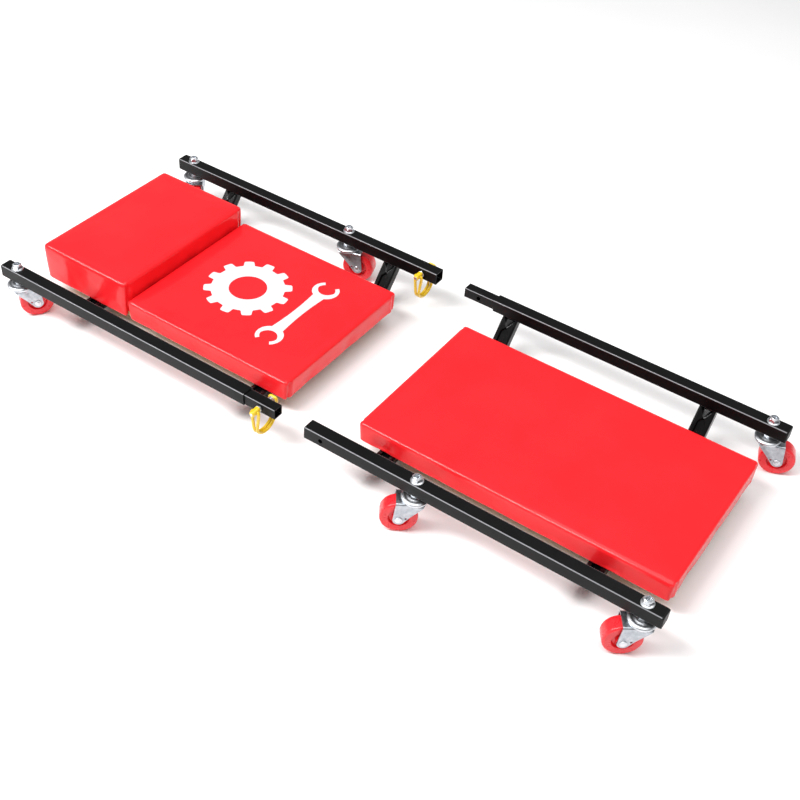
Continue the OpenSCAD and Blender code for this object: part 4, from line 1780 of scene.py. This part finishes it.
# ---------------------------------------------------------------- studio
@dataclass
class Studio:
    """Pale floor, soft lights and camera, in metres and degrees."""

    target: tuple[float, float, float] = (0.0838, -0.0796, 0.0848)
    distance: float = 1.6834
    azimuth: float = 31.28
    elevation: float = 41.95
    roll: float = 4.66
    lens: float = 55.88
    floor_reach: float = 9.0
    light_aim: tuple[float, float, float] = (0.0, 0.0, 0.03)

    def stand(self, name: str, data: bpy.types.ID, axes: Sequence[Vector], place: Vector) -> None:
        """Stands a camera or a light in the scene.

        Args:
            name: Name of the object.
            data: The camera or light.
            axes: Its right, up and back directions.
            place: Its place.
        """
        stood = bpy.data.objects.new(name, data)
        bpy.context.scene.collection.objects.link(stood)
        pose = Matrix(axes).transposed().to_4x4()
        pose.translation = place
        stood.matrix_world = pose

    def camera(self) -> None:
        """Aims the camera at the target from its azimuth, elevation and roll."""
        az, el, roll = (math.radians(v) for v in (self.azimuth, self.elevation, self.roll))
        back = Vector((math.sin(az) * math.cos(el), -math.cos(az) * math.cos(el), math.sin(el)))
        right = Vector((math.cos(az), math.sin(az), 0.0))
        up = back.cross(right)
        turned_right = right * math.cos(roll) + up * math.sin(roll)
        turned_up = up * math.cos(roll) - right * math.sin(roll)
        data = bpy.data.cameras.new("camera")
        data.lens = self.lens
        data.sensor_width = 36.0
        place = Vector(self.target) + back * self.distance
        self.stand("camera", data, (turned_right, turned_up, back), place)
        bpy.context.scene.camera = bpy.data.objects["camera"]

    def floor(self) -> None:
        """Lays a plain pale floor."""
        r = self.floor_reach
        corners = np.array([[[-r, -r, 0], [-r, r, 0]], [[r, -r, 0], [r, r, 0]]])
        floor = add_object("floor", make_mesh("floor", Surface.grid(corners)))
        floor.data.materials.append(FLOOR.material())

    def light(
        self, name: str, place: Sequence[float], size: tuple[float, float], power: float
    ) -> None:
        """Adds a rectangular soft light that faces the creeper.

        Its width lies square to y, or level for a light that stands mostly along x.

        Args:
            name: Name of the light.
            place: Its centre in metres.
            size: Its width and height in metres.
            power: Its power in watts.
        """
        data = bpy.data.lights.new(name, "AREA")
        data.shape = "RECTANGLE"
        data.size, data.size_y = size
        data.energy = power
        back = (Vector(place) - Vector(self.light_aim)).normalized()
        square_to = Vector((0, 1, 0)) if abs(back.x) < 0.5 else Vector((0, 0, 1))
        width = square_to.cross(back).normalized()
        self.stand(name, data, (width, back.cross(width), back), Vector(place))

    def build(self) -> None:
        """Makes camera, floor, sky and lights."""
        self.camera()
        self.floor()
        world = bpy.data.worlds.new("studio")
        world.use_nodes = True
        sky = world.node_tree.nodes["Background"]
        sky.inputs["Color"].default_value = linear("#FFFFFF")
        sky.inputs["Strength"].default_value = 0.3
        bpy.context.scene.world = world
        self.light("overhead", (0.75, 0.15, 2.8), (2.6, 2.6), 52)
        self.light("key", (-1.1, -1.3, 2.2), (2.3, 0.5), 90)
        self.light("front", (-1.0, -2.8, 0.9), (1.4, 1.4), 6)
        self.light("side", (2.6, 0.6, 1.4), (1.2, 1.2), 5)
        bpy.context.scene.view_settings.view_transform = "Standard"


# ---------------------------------------------------------------- assembly
def main() -> None:
    """Builds the creeper from its sub-assemblies and reports their pieces."""
    logging.basicConfig(level=logging.INFO, format="%(name)s: %(message)s")
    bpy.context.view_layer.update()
    datum = Datum.from_frame()
    Studio().build()
    covers = {}
    for half in Half:
        Rails(datum, half).build()
        for part in ("bar_outer", "bar_inner"):
            Crossbar(datum, half, part).build()
        name = f"{half.value}_pad"
        covers[name] = Pad(datum, half, name).build()
        dress_node(f"{half.value}_board", PLYWOOD, 0.5)
        dress_node(f"{half.value}_board_screws", ZINC, 0.4)
    Pad(datum, Half.HEAD, "headrest_pad", edge=7.0).build()
    pad_low, pad_high = datum.local("head_pad")
    x, y, _ = (pad_low + pad_high) / 2
    drop = 20.0
    PrintedSign(datum, covers["head_pad"], (x, y), pad_high[2] + drop).build()
    for letter in "abcdef":
        Caster.from_frame(letter).build()
    for side in ("near", "far"):
        LockPin(side).build()
    # the nuts of a half are one CAD node, hidden here, since each caster makes its own nuts
    for half, letter in ((Half.HEAD, "a"), (Half.HIP, "d")):
        for part, node in (("flange_nut", "stem_nuts"), ("spacer_nut", "spacer_nuts")):
            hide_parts(f"{half.value}_{node}")


if __name__ == "__main__":
    main()
